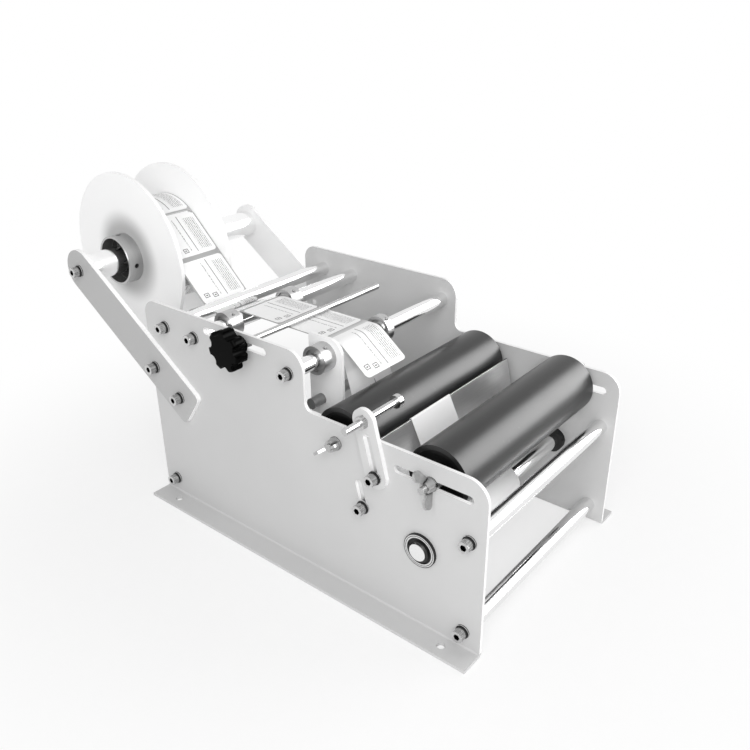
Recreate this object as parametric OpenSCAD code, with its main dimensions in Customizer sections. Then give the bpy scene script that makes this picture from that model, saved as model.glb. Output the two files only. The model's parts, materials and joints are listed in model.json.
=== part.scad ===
// Manual bottle labelling machine, in millimetres.
// +X points to the crank side, +Y to the reel and +Z up. The origin is the
// centre of the four foot holes, on the floor plane.

/* [Side plates] */
// Length of the side plates
body_l = 384; // [340:1:460]
// Width over both side plates
body_w = 222; // [205:1:320]
// Sheet thickness of the side plates
plate_t = 3; // [2:0.5:4]
// Height of the rear part
rear_h = 211; // [205:1:240]
// Height of the front part
front_h = 160; // [156:1:168]
// Length of the low front part
front_l = 178; // [176:1:182]
// Corner radius at the rear top
rear_corner_r = 15; // [5:1:20]
// Corner radius at the top of the step
step_corner_r = 17; // [5:1:18]
// Fillet radius at the foot of the step
step_fillet_r = 8; // [2:1:12]
// Corner radius at the front top
front_corner_r = 18; // [5:1:20]
// Width of the foot flange outside the plate
foot_w = 21; // [18:1:35]
// Inner bend radius of the foot flange
bend_r = 1.5; // [1:0.5:3]
// Radius of the foot holes
foot_hole_r = 3.4; // [2.5:0.1:4.5]
// Distance of the foot holes from the plate ends
foot_hole_end = 29.25; // [15:0.25:50]
// Distance of the foot holes outside the plate
foot_hole_out = 10.4; // [9:0.1:12]

/* [Guide and tie rods] */
// Radius of the guide and tie rods
rod_r = 7; // [6:0.5:8]
// Rear guide rod, distance from the rear edge
rear_rod_in = 29; // [27:0.5:32]
// Middle guide rod, distance from the rear edge
middle_rod_in = 70.3; // [64:0.5:76]
// Guide rods, distance below the top
guide_rod_down = 21.8; // [20:0.2:24]
// Front guide rod, distance behind the step
front_rod_in = 16.8; // [15:0.2:18]
// Upper front tie rod, distance from the front edge
upper_tie_y = 14; // [11:0.5:16]
// Upper front tie rod, height
upper_tie_z = 105.5; // [100:0.5:106]
// Lower front tie rod, distance from the front edge
lower_tie_y = 16; // [13:0.5:30]
// Lower rear tie rod, distance from the rear edge
lower_tie_rear = 17; // [14:0.5:30]
// Height of the lower tie rods
lower_tie_z = 18.5; // [17:0.5:30]

/* [Screws] */
// Radius of the screw shanks
screw_r = 3; // [2.5:0.5:3]
// Radius of the cap screw heads
head_r = 5; // [4.5:0.25:5.5]
// Height of the cap screw heads
head_h = 6; // [4:0.5:7]
// Radius over the corners of the hex sockets
socket_r = 2.9; // [2:0.1:3.2]
// Depth of the hex sockets
socket_d = 3; // [1.5:0.5:3.5]
// Depth of the screws in the rods
screw_in = 14; // [8:1:20]
// Outer radius of the flat washers
washer_r = 6; // [5.5:0.25:7]
// Thickness of the flat washers
washer_t = 1.4; // [1:0.1:2]
// Outer radius of the spring washers
spring_washer_r = 5.4; // [4.8:0.1:6]
// Thickness of the spring washers
spring_washer_t = 1.6; // [1:0.1:2]
// Width of the cut in the spring washers
spring_cut = 1; // [0.5:0.1:1.5]
// Radius over the corners of the nuts
nut_r = 5.77; // [5:0.1:6.5]
// Height of the nuts
nut_h = 5; // [3:0.5:6]
// Clearance of screws in tapped holes and of fixed pieces on rods
fit_gap = 0.05; // [0.03:0.01:0.08]
// Clearance of screws in drilled holes
drill_gap = 0.3; // [0.2:0.05:0.5]
// Clearance of turning and sliding pieces
run_gap = 0.06; // [0.04:0.01:0.09]
// Side clearance between turning or sliding pieces
side_gap = 0.3; // [0.2:0.05:0.6]

/* [Reel] */
// Thickness of the reel arms
arm_t = 4.5; // [3:0.5:6]
// Width of the reel arms
arm_w = 42; // [34:1:46]
// Corner radius of the lower arm ends
arm_corner_r = 5.5; // [1:0.5:8]
// Slope of the reel arms
arm_slope = 34.8; // [33:0.2:38]
// Distance from the reel axis to the lower end of the arms
arm_l = 190; // [186:1:200]
// Distance from the reel axis to the upper arm screws
arm_screw_1 = 131; // [128:1:140]
// Distance from the reel axis to the lower arm screws
arm_screw_2 = 171; // [160:1:176]
// Lower arm screws, distance from the rear edge
arm_screw_in = 44.3; // [38:0.5:50]
// Lower arm screws, distance below the rear top
arm_screw_down = 89.3; // [80:0.5:96]
// Radius of the reel shaft
reel_shaft_r = 14; // [12:0.5:15]
// Radius of the reel hubs
hub_r = 25.5; // [24:0.5:30]
// Length of the reel hubs
hub_l = 16; // [13:0.5:20]
// Wall of the reel hub rim
hub_wall = 2.2; // [1.5:0.1:3]
// Floor of the reel hubs
hub_floor = 3.5; // [2.5:0.5:5]
// Radius of the hub set screws
hub_set_r = 2.5; // [2:0.25:3]
// Angle between the two set screws of a hub
hub_set_angle = 96; // [80:2:130]
// Radius of the reel discs
disc_r = 87.4; // [75:0.2:95]
// Thickness of the reel discs
disc_t = 4; // [2:0.5:5]
// Length of the centring boss of the discs
plug_l = 12; // [8:1:20]
// Wall of the centring boss of the discs
plug_wall = 3; // [2:0.5:5]
// Bore radius of the cardboard core
core_r = 38.1; // [36:0.1:39]
// Wall of the cardboard core
core_wall = 3; // [2:0.5:4]
// Outer radius of the label roll
roll_r = 56; // [48:0.5:62]
// Sideways place of the label roll, from the near plate's outer face
roll_x = 57; // [54:0.5:62]

/* [Label web] */
// Width of the web
web_w = 57; // [44:1:60]
// Sideways place of the web, from the near plate's outer face
web_x = 57; // [54:0.5:60]
// Thickness of the web
web_t = 0.4; // [0.2:0.05:0.5]
// Gap between the web and what it runs on
web_gap = 0.3; // [0.2:0.05:0.4]
// Angle of one step of a web bend
web_step_angle = 5; // [3:0.5:10]
// Margin of the web beside its labels
label_margin = 1.5; // [1:0.25:6]
// Thickness of the lifted label
label_t = 0.3; // [0.2:0.05:0.4]
// Gap between the lifted label and the web below it
label_gap = 0.4; // [0.2:0.05:0.6]
// Length of the lifted label that still lies on the web
label_held = 7.5; // [4:0.5:12]
// Bend radius of the lifted label over the front guide rod
label_bend_r = 14; // [10:0.5:18]
// Slope of the lifted label's free end
label_slope = 38; // [30:1:40]
// Gap between the lifted label's free end and the rear roller
label_end_gap = 6.6; // [4:0.2:12]

/* [Guides] */
// Radius of the guide collars
collar_r = 13; // [11.5:0.5:14]
// Length of the guide collars
collar_l = 14; // [10:0.5:16]
// Length of the far collar of the front rod
short_collar_l = 8.5; // [7:0.5:14]
// Radius of the recess in the collar faces
collar_recess_r = 10; // [9.5:0.25:10.5]
// Depth of the recess in the collar faces
collar_recess_d = 2; // [1:0.5:3]
// Radius of the collar set screws
collar_set_r = 2; // [1.5:0.25:2]
// Near collar of the middle rod, from the near plate's outer face
middle_collar_x = 35; // [30:0.5:36]
// Free width between the collars of the middle rod
middle_collar_span = 66; // [62:1:80]
// Thickness of the web cheek
cheek_t = 3; // [2:0.5:4]
// Side clearance between the web and the near cheek
near_cheek_gap = 9; // [5:0.25:10]
// Side clearance between the web and the far collar
far_collar_gap = 2.5; // [1:0.25:4]
// Width of the web cheek
cheek_w = 38; // [34:1:40]
// Height of the cheek above the front guide rod
cheek_up = 17; // [15:0.5:18]
// Radius of the cheek's front top corner
cheek_front_r = 14; // [8:1:15]
// Radius of the cheek's rear top corner
cheek_rear_r = 3; // [1:0.5:8]
// Radius of the cross bar of the cheek
crossbar_r = 5; // [4:0.25:6.5]
// Cross bar, distance behind the front guide rod
crossbar_back = 5.7; // [4:0.1:12]
// Cross bar, distance below the front guide rod
crossbar_down = 43.2; // [41:0.2:46]
// Length of the cross bar outside the cheek
crossbar_out = 14; // [8:0.5:18]
// Length of the cross bar beyond the web
crossbar_far_out = 5; // [2:0.5:20]
// Cheek length below the cross bar
cheek_below = 16.4; // [12:0.2:18]
// Gap between the cheek and the rear roller
cheek_clear = 1; // [0.5:0.25:2]

/* [Rollers] */
// Radius of the rubber rollers
roller_r = 27.5; // [25:0.25:27.75]
// Wall of the rubber sleeve
sleeve_wall = 4; // [3:0.5:5]
// Wall of the roller tube
tube_wall = 3; // [2:0.5:4]
// Thickness of the roller end walls
end_wall = 6; // [4:0.5:10]
// Depth of the recess at the roller ends
end_recess = 2.5; // [1:0.5:4]
// Gap between the roller ends and the side plates
roller_side = 6; // [4:0.5:8]
// Rear roller, distance from the step
rear_roller_in = 33.7; // [33:0.1:35]
// Rollers, distance below the front top
roller_down = 18.2; // [17:0.2:20]
// Front roller, distance from the front edge
front_roller_y = 50; // [46:0.5:52]
// Radius of the roller axles
axle_r = 6; // [5:0.5:7]
// Radius of the bearing boss at the roller ends
bearing_boss_r = 10; // [9:0.5:12]
// Length of the rear axle ends outside the plates
rear_axle_out = 10; // [9.5:0.5:18]
// Length of the front axle ends outside the plates
front_axle_out = 13; // [13:0.5:18]
// Near end of the front roller slot, from the front edge
roller_slot_y0 = 12.5; // [11:0.5:15]
// Far end of the front roller slot, from the front edge
roller_slot_y1 = 84.8; // [82:0.5:88]
// Clearance of the slots round the screws
slot_gap = 0.5; // [0.3:0.1:0.7]

/* [Wing nuts] */
// Radius of the wing nut hub at its seat
wing_hub_r = 5.8; // [5:0.2:6.5]
// Height of the wing nut hub
wing_hub_h = 7; // [5:0.5:9]
// Span of the wings
wing_span = 31; // [26:1:34]
// Radius of the wing tips
wing_tip_r = 4.4; // [3.5:0.2:5]
// Height of the wings
wing_h = 14; // [11:0.5:15]
// Thickness of the wings
wing_t = 2.2; // [1.6:0.1:3]
// Turn of the near rear wing nut
rear_wing_angle = 125; // [-180:5:180]
// Turn of the near front wing nut
front_wing_angle = 25; // [-180:5:180]

/* [Peel plate] */
// Sheet thickness of the peel plate
peel_t = 1.5; // [1:0.1:2]
// Peel edge, distance from the step
peel_in = 66; // [64.5:0.5:67]
// Peel edge, distance below the front top
peel_down = 10; // [9:0.5:12]
// Lean of the peel plate
peel_lean = 13.6; // [12:0.2:15]
// Length of the peel plate down its face
peel_l = 82; // [74:1:86]
// Length of the narrower top part
peel_top_l = 29; // [26:1:34]
// Side inset of the top part, from the plates' inner faces
peel_inset = 8; // [6:0.5:12]
// Depth of the peel plate ears
ear_l = 26; // [25:0.5:28]
// Peel screws, distance down from the peel edge
peel_screw_u = 54.5; // [52:0.5:56]
// Peel screws, distance behind the peel plate
peel_screw_v = 17.3; // [16.5:0.1:18]
// Travel of the peel plate up the slot
peel_up = 21; // [12:1:22]
// Travel of the peel plate down the slot
peel_low = 3; // [2:0.5:6]

/* [Take-up shaft] */
// Take-up shaft, distance from the front edge
drive_y = 58; // [54:0.5:60]
// Take-up shaft, distance below the front top
drive_down = 82.7; // [80:0.1:84]
// Radius of the take-up shaft
drive_r = 7.5; // [7:0.25:8.5]
// Radius of the bearing flanges
bearing_flange_r = 14.8; // [13.5:0.1:16]
// Thickness of the bearing flanges
bearing_flange_t = 2.5; // [1.5:0.5:4]
// Radius of the bearing barrels
bearing_r = 11.5; // [11:0.25:12.5]
// Length of the bearing barrels behind the flange
bearing_l = 10; // [8:0.5:14]
// Depth of the recess in the bearing faces
bearing_recess = 1; // [0.5:0.25:1.25]
// Width of the retaining rings
clip_w = 2; // [1.5:0.25:2.5]
// Thickness of the retaining rings
clip_t = 1.2; // [0.8:0.1:1.6]
// Depth of the retaining ring grooves
clip_groove = 0.8; // [0.5:0.1:1]
// Outer radius of the wound waste liner
wound_r = 16; // [13:0.5:18]
// Near end of the wound liner, from the near plate's outer face
wound_x0 = 54; // [48:1:60]
// Far end of the wound liner, from the near plate's outer face
wound_x1 = 127; // [115:1:140]

/* [Crank] */
// Length of the crank arm between its axes
crank_l = 60; // [50:1:62]
// Angle of the crank arm below level, to the rear
crank_angle = 20; // [0:5:60]
// Width of the crank arm
crank_w = 18; // [16:1:22]
// Thickness of the crank arm
crank_t = 6; // [4:0.5:8]
// Radius of the crank hub
crank_hub_r = 12; // [11:0.5:14]
// Length of the crank hub
crank_hub_l = 18; // [14:1:22]
// Gap between the far bearing and the crank hub
crank_side = 5; // [2:0.5:8]
// Radius of the crank set screw
crank_set_r = 2.5; // [2:0.25:3]
// Radius of the crank grip at its middle
grip_r = 11; // [9:0.5:13]
// Radius of the crank grip at its ends
grip_end_r = 8.5; // [7.5:0.5:9]
// Length of the crank grip
grip_l = 58; // [45:1:75]
// Radius of the crank grip pin
grip_pin_r = 4; // [3:0.5:5]
// Head radius of the crank grip pin
grip_pin_head_r = 6; // [5.5:0.25:7]
// Head height of the crank grip pin
grip_pin_head_h = 3; // [2:0.5:4]

/* [Bottle stop] */
// Stop clamp screw, distance from the front edge
stop_y = 100.2; // [96:0.2:102]
// Stop clamp screw, distance below the front top
stop_down = 31.1; // [28:0.2:33]
// Lean of the stop strap
stop_lean = 14.4; // [10:0.2:18]
// Distance from the clamp screw to the stop pin
stop_reach = 47.4; // [45:0.2:50]
// Width of the stop strap
strap_w = 21; // [19:0.5:22]
// Thickness of the stop strap
strap_t = 4; // [3:0.5:5]
// Length of the slot in the stop strap, between its end centres
strap_slot_l = 33; // [28:1:34]
// Length of the stop pin outside the near plate
stop_pin_out = 25.6; // [22:0.2:28]
// Length of the stop pin inside the near plate
stop_pin_in = 41; // [34:0.5:46]
// Radius of the stop pin head
stop_head_r = 5.6; // [4.5:0.2:6.5]
// Length of the stop pin head
stop_head_l = 5; // [3:0.5:8]

/* [Hold-down rod] */
// Radius of the hold-down rod
hold_r = 3; // [2.5:0.25:3]
// Length of the hold-down rod inside the near plate
hold_l = 180.5; // [140:0.5:200]
// Hold-down rod, distance behind the step
hold_in = 72; // [60:0.5:76]
// Hold-down rod, distance below the rear top
hold_down = 10.6; // [10:0.1:11]
// Near end of its slot, distance behind the step
hold_slot_y0 = 41.9; // [41:0.5:44]
// Far end of its slot, distance behind the step
hold_slot_y1 = 121.2; // [110:0.5:122]
// Radius of the knob over its lobes
knob_r = 19; // [16:0.5:21]
// Number of knob lobes
knob_lobes = 7; // [5:1:8]
// Radius of a knob lobe
knob_lobe_r = 5.5; // [4.5:0.25:6]
// Height of the knob's lobed head
knob_h = 13; // [10:0.5:16]
// Radius of the knob's neck
knob_neck_r = 8; // [7:0.5:9]
// Length of the knob's neck
knob_neck_h = 8; // [5:0.5:10]
// Edge radius of the knob
knob_edge_r = 3; // [2:0.5:4]

/* [Hidden] */
$fn = 96;
hex_n = 6;
half_l = body_l / 2;
inner_w = body_w - 2 * plate_t;
near_x = -body_w / 2;
far_x = body_w / 2;
near_in = near_x + plate_t;
far_in = far_x - plate_t;
step_y = front_l;
top_down = rear_h - guide_rod_down;
cut = 1;
half_turn = 180;

rear_rod = [body_l - rear_rod_in, top_down];
middle_rod = [body_l - middle_rod_in, top_down];
front_rod = [step_y + front_rod_in, top_down];
upper_tie = [upper_tie_y, upper_tie_z];
lower_front_tie = [lower_tie_y, lower_tie_z];
lower_rear_tie = [body_l - lower_tie_rear, lower_tie_z];
rods = [rear_rod, middle_rod, front_rod, upper_tie, lower_front_tie, lower_rear_tie];

arm_screw_low = [body_l - arm_screw_in, rear_h - arm_screw_down];
arm_dir = [cos(arm_slope), sin(arm_slope)];
reel = arm_screw_low + arm_screw_2 * arm_dir;
arm_screw_high = reel - arm_screw_1 * arm_dir;
arm_screws = [arm_screw_low, arm_screw_high];

rear_roller = [step_y - rear_roller_in, front_h - roller_down];
front_roller = [front_roller_y, front_h - roller_down];
drive = [drive_y, front_h - drive_down];
peel_edge = [step_y - peel_in, front_h - peel_down - peel_t / 2];
peel_d = [-sin(peel_lean), -cos(peel_lean)];
peel_n = [cos(peel_lean), -sin(peel_lean)];
peel_screw = peel_edge + peel_screw_u * peel_d + peel_screw_v * peel_n;
stop_screw = [stop_y, front_h - stop_down];
stop_dir = [sin(stop_lean), cos(stop_lean)];
stop_pin_at = stop_screw + stop_reach * stop_dir;
hold = [step_y + hold_in, rear_h - hold_down];
slot_r = screw_r + slot_gap;
stack = washer_t + spring_washer_t;
wall_clear = screw_r + drill_gap;

near_cheek_x = near_x + web_x - near_cheek_gap - cheek_t;
far_collar_x = near_x + web_x + web_w + far_collar_gap;
crossbar = [front_rod[0] + crossbar_back, front_rod[1] - crossbar_down];

near_disc_x = near_x + roll_x - disc_t;
far_disc_x = near_x + roll_x + web_w + disc_t;

// The web's route: each entry is [y, z, radius of its middle line, side of the
// centre], where 1 is left of the way the web runs and -1 is right of it.
lift = web_gap + web_t / 2;
over_rod = [front_rod[0], front_rod[1], rod_r + lift, 1];
under_roller = [rear_roller[0], rear_roller[1], roller_r + lift, -1];
run_down = unwrap(heading(over_rod, under_roller));
route = [
  [reel[0], reel[1], roll_r + lift, 1],
  [rear_rod[0], rear_rod[1], rod_r + lift, -1],
  [middle_rod[0], middle_rod[1], rod_r + lift, 1],
  over_rod,
  under_roller,
  [peel_edge[0], peel_edge[1], peel_t / 2 + lift, 1],
  [drive[0], drive[1], wound_r + lift, -1]
];
function reach(a, b) = norm([b[0] - a[0], b[1] - a[1]]);
function heading(a, b) =
  atan2(b[1] - a[1], b[0] - a[0]) - asin((b[3] * b[2] - a[3] * a[2]) / reach(a, b));
function unwrap(h) = h < 0 ? h + 360 : h;
runs = [for (i = [0 : len(route) - 2]) unwrap(heading(route[i], route[i + 1]))];
function left_of(h) = [-sin(h), cos(h)];
function on_bend(c, h) = [c[0], c[1]] - c[3] * c[2] * left_of(h);
function steps(i) = max(2, ceil(abs(runs[i] - runs[i - 1]) / web_step_angle));
middle_line = concat(
  [[on_bend(route[0], runs[0]), runs[0]]],
  [
    for (i = [1 : len(route) - 2])
      for (k = [0 : steps(i)])
        let (h = runs[i - 1] + (runs[i] - runs[i - 1]) * k / steps(i))
          [on_bend(route[i], h), h]
  ],
  [[on_bend(route[len(route) - 1], runs[len(runs) - 1]), runs[len(runs) - 1]]]
);

// Puts a piece on the near plate's outer face, its own +Z outwards and its +X up
module on_near(at) {
  translate([near_x, at[0] - half_l, at[1]]) rotate([0, -90, 0]) children();
}

// Puts a piece on the far plate's outer face, its own +Z outwards and its +X down
module on_far(at) {
  translate([far_x, at[0] - half_l, at[1]]) rotate([0, 90, 0]) children();
}

// Turns a side view, drawn as y and z from the plate's front foot, into a sheet
module side_sheet(x, t) {
  translate([x, -half_l, 0]) rotate([90, 0, 90]) linear_extrude(height = t) children();
}

module shaft_x(x0, x1, at, r) {
  translate([x0, at[0] - half_l, at[1]]) rotate([0, 90, 0]) cylinder(h = x1 - x0, r = r);
}

module slot_2d(a, b, r) {
  v = b - a;
  translate(a) circle(r);
  translate(b) circle(r);
  translate(a) rotate(atan2(v[1], v[0])) translate([0, -r]) square([norm(v), 2 * r]);
}

module cap_screw(low, under) {
  difference() {
    union() {
      translate([0, 0, low]) cylinder(h = under - low + socket_d, r = screw_r);
      translate([0, 0, under]) cylinder(h = head_h, r = head_r);
    }
    translate([0, 0, under + head_h - socket_d])
      rotate([0, 0, 30]) cylinder(h = socket_d + cut, r = socket_r, $fn = hex_n);
  }
}

module flat_washer(z) {
  translate([0, 0, z]) difference() {
    cylinder(h = washer_t, r = washer_r);
    translate([0, 0, -cut]) cylinder(h = washer_t + 2 * cut, r = wall_clear);
  }
}

module spring_washer(z) {
  translate([0, 0, z]) difference() {
    cylinder(h = spring_washer_t, r = spring_washer_r);
    translate([0, 0, -cut]) cylinder(h = spring_washer_t + 2 * cut, r = screw_r + fit_gap);
    rotate([0, 0, 40]) translate([0, -spring_cut / 2, -cut])
      cube([spring_washer_r + cut, spring_cut, spring_washer_t + 2 * cut]);
  }
}

module nut(z, h) {
  translate([0, 0, z]) difference() {
    cylinder(h = h, r = nut_r, $fn = hex_n);
    translate([0, 0, -cut]) cylinder(h = h + 2 * cut, r = screw_r + fit_gap);
  }
}

module tapped_rod(at, r) {
  difference() {
    shaft_x(near_in, far_in, at, r);
    shaft_x(near_in - cut, near_in + screw_in, at, screw_r + fit_gap);
    shaft_x(far_in - screw_in, far_in + cut, at, screw_r + fit_gap);
  }
}

// Side plates

module plate_outline() {
  translate([0, bend_r + plate_t]) square([body_l, lower_tie_z]);
  difference() {
    union() {
      translate([0, bend_r + plate_t]) square([body_l, front_h - front_corner_r - bend_r - plate_t]);
      translate([front_corner_r, bend_r + plate_t]) square([body_l - front_corner_r, front_h - bend_r - plate_t]);
      translate([front_corner_r, front_h - front_corner_r]) circle(front_corner_r);
    }
    translate([step_y + front_corner_r, front_h - front_corner_r]) square([body_l, rear_h]);
  }
  translate([step_y, lower_tie_z]) square([body_l - step_y, rear_h - lower_tie_z - max(step_corner_r, rear_corner_r)]);
  translate([step_y + step_corner_r, front_h]) square([body_l - step_y - step_corner_r - rear_corner_r, rear_h - front_h]);
  translate([step_y + step_corner_r, rear_h - step_corner_r]) circle(step_corner_r);
  translate([body_l - rear_corner_r, rear_h - rear_corner_r]) circle(rear_corner_r);
  translate([step_y, front_h]) square([step_corner_r, rear_h - front_h - step_corner_r]);
  translate([body_l - rear_corner_r, front_h]) square([rear_corner_r, rear_h - front_h - rear_corner_r]);
  difference() {
    translate([step_y - step_fillet_r, front_h - cut]) square([step_fillet_r + cut, step_fillet_r + cut]);
    translate([step_y - step_fillet_r, front_h + step_fillet_r]) circle(step_fillet_r);
  }
}

module plate_holes() {
  for (at = rods) translate(at) circle(wall_clear);
  for (at = arm_screws) translate(at) circle(screw_r + fit_gap);
  translate(rear_roller) circle(wall_clear);
  slot_2d([roller_slot_y0 + slot_r, front_roller[1]], [roller_slot_y1 - slot_r, front_roller[1]], slot_r);
  slot_2d(peel_screw - peel_up * peel_d, peel_screw + peel_low * peel_d, slot_r);
  translate(drive) circle(bearing_r + fit_gap);
}

module foot(x, side) {
  translate([x, -half_l, 0]) rotate([90, 0, 0]) mirror([0, 0, 1]) linear_extrude(height = body_l) scale_side(side) {
    intersection() {
      difference() {
        translate([0, bend_r + plate_t]) circle(bend_r + plate_t);
        translate([0, bend_r + plate_t]) circle(bend_r);
      }
      square([bend_r + plate_t, bend_r + plate_t]);
    }
    translate([-(foot_w - bend_r), 0]) square([foot_w - bend_r, plate_t]);
  }
}

module scale_side(side) {
  mirror([side < 0 ? 0 : 1, 0]) children();
}

module side_plate(side) {
  face = side < 0 ? near_x : far_in;
  difference() {
    union() {
      side_sheet(face, plate_t) plate_outline();
      foot(side * (body_w / 2 + bend_r), side);
    }
    side_sheet(face - cut, plate_t + 2 * cut) {
      plate_holes();
      if (side < 0) {
        slot_2d([step_y + hold_slot_y0 + slot_r, hold[1]], [step_y + hold_slot_y1 - slot_r, hold[1]], slot_r);
        translate(stop_screw) circle(wall_clear);
      }
    }
    for (e = [-1, 1])
      translate([side * (body_w / 2 + foot_hole_out), e * (half_l - foot_hole_end), -cut])
        cylinder(h = plate_t + 2 * cut, r = foot_hole_r);
  }
}

module near_side_plate() {
  color([0.86, 0.87, 0.88]) side_plate(-1);
}

module far_side_plate() {
  color([0.86, 0.87, 0.88]) side_plate(1);
}

// Rods and their screws

module rear_guide_rod() {
  color([0.8, 0.8, 0.82]) tapped_rod(rear_rod, rod_r);
}

module middle_guide_rod() {
  color([0.8, 0.8, 0.82]) tapped_rod(middle_rod, rod_r);
}

module front_guide_rod() {
  color([0.8, 0.8, 0.82]) tapped_rod(front_rod, rod_r);
}

module upper_tie_rod() {
  color([0.8, 0.8, 0.82]) tapped_rod(upper_tie, rod_r);
}

module lower_front_tie_rod() {
  color([0.8, 0.8, 0.82]) tapped_rod(lower_front_tie, rod_r);
}

module lower_rear_tie_rod() {
  color([0.8, 0.8, 0.82]) tapped_rod(lower_rear_tie, rod_r);
}

module frame_screws() {
  color([0.6, 0.6, 0.62]) {
    for (at = rods) {
      on_near(at) cap_screw(-plate_t - screw_in + cut, stack);
      on_far(at) cap_screw(-plate_t - screw_in + cut, stack);
    }
    for (at = arm_screws) {
      on_near(at) cap_screw(side_gap - plate_t, arm_t + stack);
      on_far(at) cap_screw(side_gap - plate_t, arm_t + stack);
    }
    on_near(reel) cap_screw(-screw_in, arm_t + stack);
    on_far(reel) cap_screw(-screw_in, arm_t + stack);
  }
}

module frame_spring_washers() {
  color([0.45, 0.45, 0.47]) {
    for (at = rods) {
      on_near(at) spring_washer(washer_t);
      on_far(at) spring_washer(washer_t);
    }
    for (at = concat(arm_screws, [reel])) {
      on_near(at) spring_washer(arm_t + washer_t);
      on_far(at) spring_washer(arm_t + washer_t);
    }
  }
}

module frame_flat_washers() {
  color([0.7, 0.7, 0.72]) {
    for (at = concat(rods, [rear_roller])) {
      on_near(at) flat_washer(0);
      on_far(at) flat_washer(0);
    }
    for (at = concat(arm_screws, [reel])) {
      on_near(at) flat_washer(arm_t);
      on_far(at) flat_washer(arm_t);
    }
  }
}

// Reel

module reel_arm_outline() {
  difference() {
    translate(reel) rotate(arm_slope + 180) {
      circle(arm_w / 2);
      translate([0, -arm_w / 2]) square([arm_l - arm_corner_r, arm_w]);
      translate([0, arm_corner_r - arm_w / 2]) square([arm_l, arm_w - 2 * arm_corner_r]);
      for (e = [-1, 1])
        translate([arm_l - arm_corner_r, e * (arm_w / 2 - arm_corner_r)]) circle(arm_corner_r);
    }
    for (at = concat(arm_screws, [reel])) translate(at) circle(wall_clear);
  }
}

module near_reel_arm() {
  color([0.84, 0.85, 0.86]) side_sheet(near_x - arm_t, arm_t) reel_arm_outline();
}

module far_reel_arm() {
  color([0.84, 0.85, 0.86]) side_sheet(far_x, arm_t) reel_arm_outline();
}

module reel_shaft() {
  color([0.8, 0.8, 0.82]) difference() {
    shaft_x(near_x + side_gap, far_x - side_gap, reel, reel_shaft_r);
    shaft_x(near_x - cut, near_x + screw_in + cut, reel, screw_r + run_gap);
    shaft_x(far_x - screw_in - cut, far_x + cut, reel, screw_r + run_gap);
  }
}

// A hub that opens towards its own -Z, with its floor against the disc
module reel_hub() {
  difference() {
    cylinder(h = hub_l, r = hub_r);
    translate([0, 0, -cut]) cylinder(h = hub_l - hub_floor + cut, r = hub_r - hub_wall);
    translate([0, 0, -cut]) cylinder(h = hub_l + 2 * cut, r = reel_shaft_r + run_gap);
    for (a = [0, hub_set_angle]) rotate([0, 0, a]) translate([0, 0, hub_l / 2]) rotate([0, 90, 0])
      cylinder(h = hub_r + cut, r = hub_set_r + fit_gap);
  }
}

module hub_set_screws() {
  for (a = [0, hub_set_angle]) rotate([0, 0, a]) translate([0, 0, hub_l / 2]) rotate([0, 90, 0]) difference() {
    translate([0, 0, reel_shaft_r + run_gap]) cylinder(h = hub_r - reel_shaft_r - cut, r = hub_set_r);
    translate([0, 0, hub_r - socket_d]) cylinder(h = socket_d, r = hub_set_r / 2, $fn = hex_n);
  }
}

module reel_disc() {
  difference() {
    union() {
      cylinder(h = disc_t, r = disc_r);
      cylinder(h = disc_t + plug_l, r = core_r - fit_gap);
    }
    translate([0, 0, disc_t]) cylinder(h = plug_l + cut, r = core_r - fit_gap - plug_wall);
    translate([0, 0, -cut]) cylinder(h = disc_t + 2 * cut, r = reel_shaft_r + side_gap);
  }
}

module at_reel_near(x) {
  translate([x, reel[0] - half_l, reel[1]]) rotate([0, 90, 0]) rotate([0, 0, 180]) children();
}

module at_reel_far(x) {
  translate([x, reel[0] - half_l, reel[1]]) rotate([0, -90, 0]) children();
}

module near_reel_hub() {
  color([0.5, 0.5, 0.52]) at_reel_near(near_disc_x - hub_l) reel_hub();
}

module near_hub_set_screws() {
  color([0.3, 0.3, 0.32]) at_reel_near(near_disc_x - hub_l) hub_set_screws();
}

module near_reel_disc() {
  color([0.95, 0.95, 0.95, 0.8]) at_reel_near(near_disc_x) reel_disc();
}

module roll_core() {
  color([0.6, 0.52, 0.42]) difference() {
    shaft_x(near_x + roll_x, near_x + roll_x + web_w, reel, core_r + core_wall);
    shaft_x(near_x + roll_x - cut, near_x + roll_x + web_w + cut, reel, core_r);
  }
}

module label_roll() {
  color([0.95, 0.95, 0.93]) difference() {
    shaft_x(near_x + roll_x, near_x + roll_x + web_w, reel, roll_r);
    shaft_x(near_x + roll_x - cut, near_x + roll_x + web_w + cut, reel, core_r + core_wall + fit_gap);
  }
}

module far_reel_hub() {
  color([0.5, 0.5, 0.52]) at_reel_far(far_disc_x + hub_l) reel_hub();
}

module far_hub_set_screws() {
  color([0.3, 0.3, 0.32]) at_reel_far(far_disc_x + hub_l) hub_set_screws();
}

module far_reel_disc() {
  color([0.95, 0.95, 0.95, 0.8]) at_reel_far(far_disc_x) reel_disc();
}

// Web and guides

module label_web() {
  color([0.97, 0.97, 0.95])
    side_sheet(near_x + web_x + side_gap, web_w - 2 * side_gap) ribbon_side(middle_line, web_t);
}

module ribbon_side(line, t) {
  polygon(concat(
    [for (p = line) p[0] + t / 2 * left_of(p[1])],
    [for (i = [len(line) - 1 : -1 : 0]) line[i][0] - t / 2 * left_of(line[i][1])]
  ));
}

// Side view of the first label, which has come off the web at the front guide rod
label_mid_r = label_bend_r + label_t / 2;
label_bend = [front_rod[0], front_rod[1] + rod_r + web_gap + web_t + label_gap - label_bend_r];
label_way = half_turn + label_slope;
label_steps = ceil(label_slope / web_step_angle);
label_bend_end = label_bend - label_mid_r * left_of(label_way);

function label_free(from, ahead) =
  let (to_roller = rear_roller - from,
       foot = to_roller * ahead,
       aside = norm(to_roller - foot * ahead),
       clear_r = roller_r + label_end_gap)
  foot - sqrt(max(0, clear_r * clear_r - aside * aside));

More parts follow.
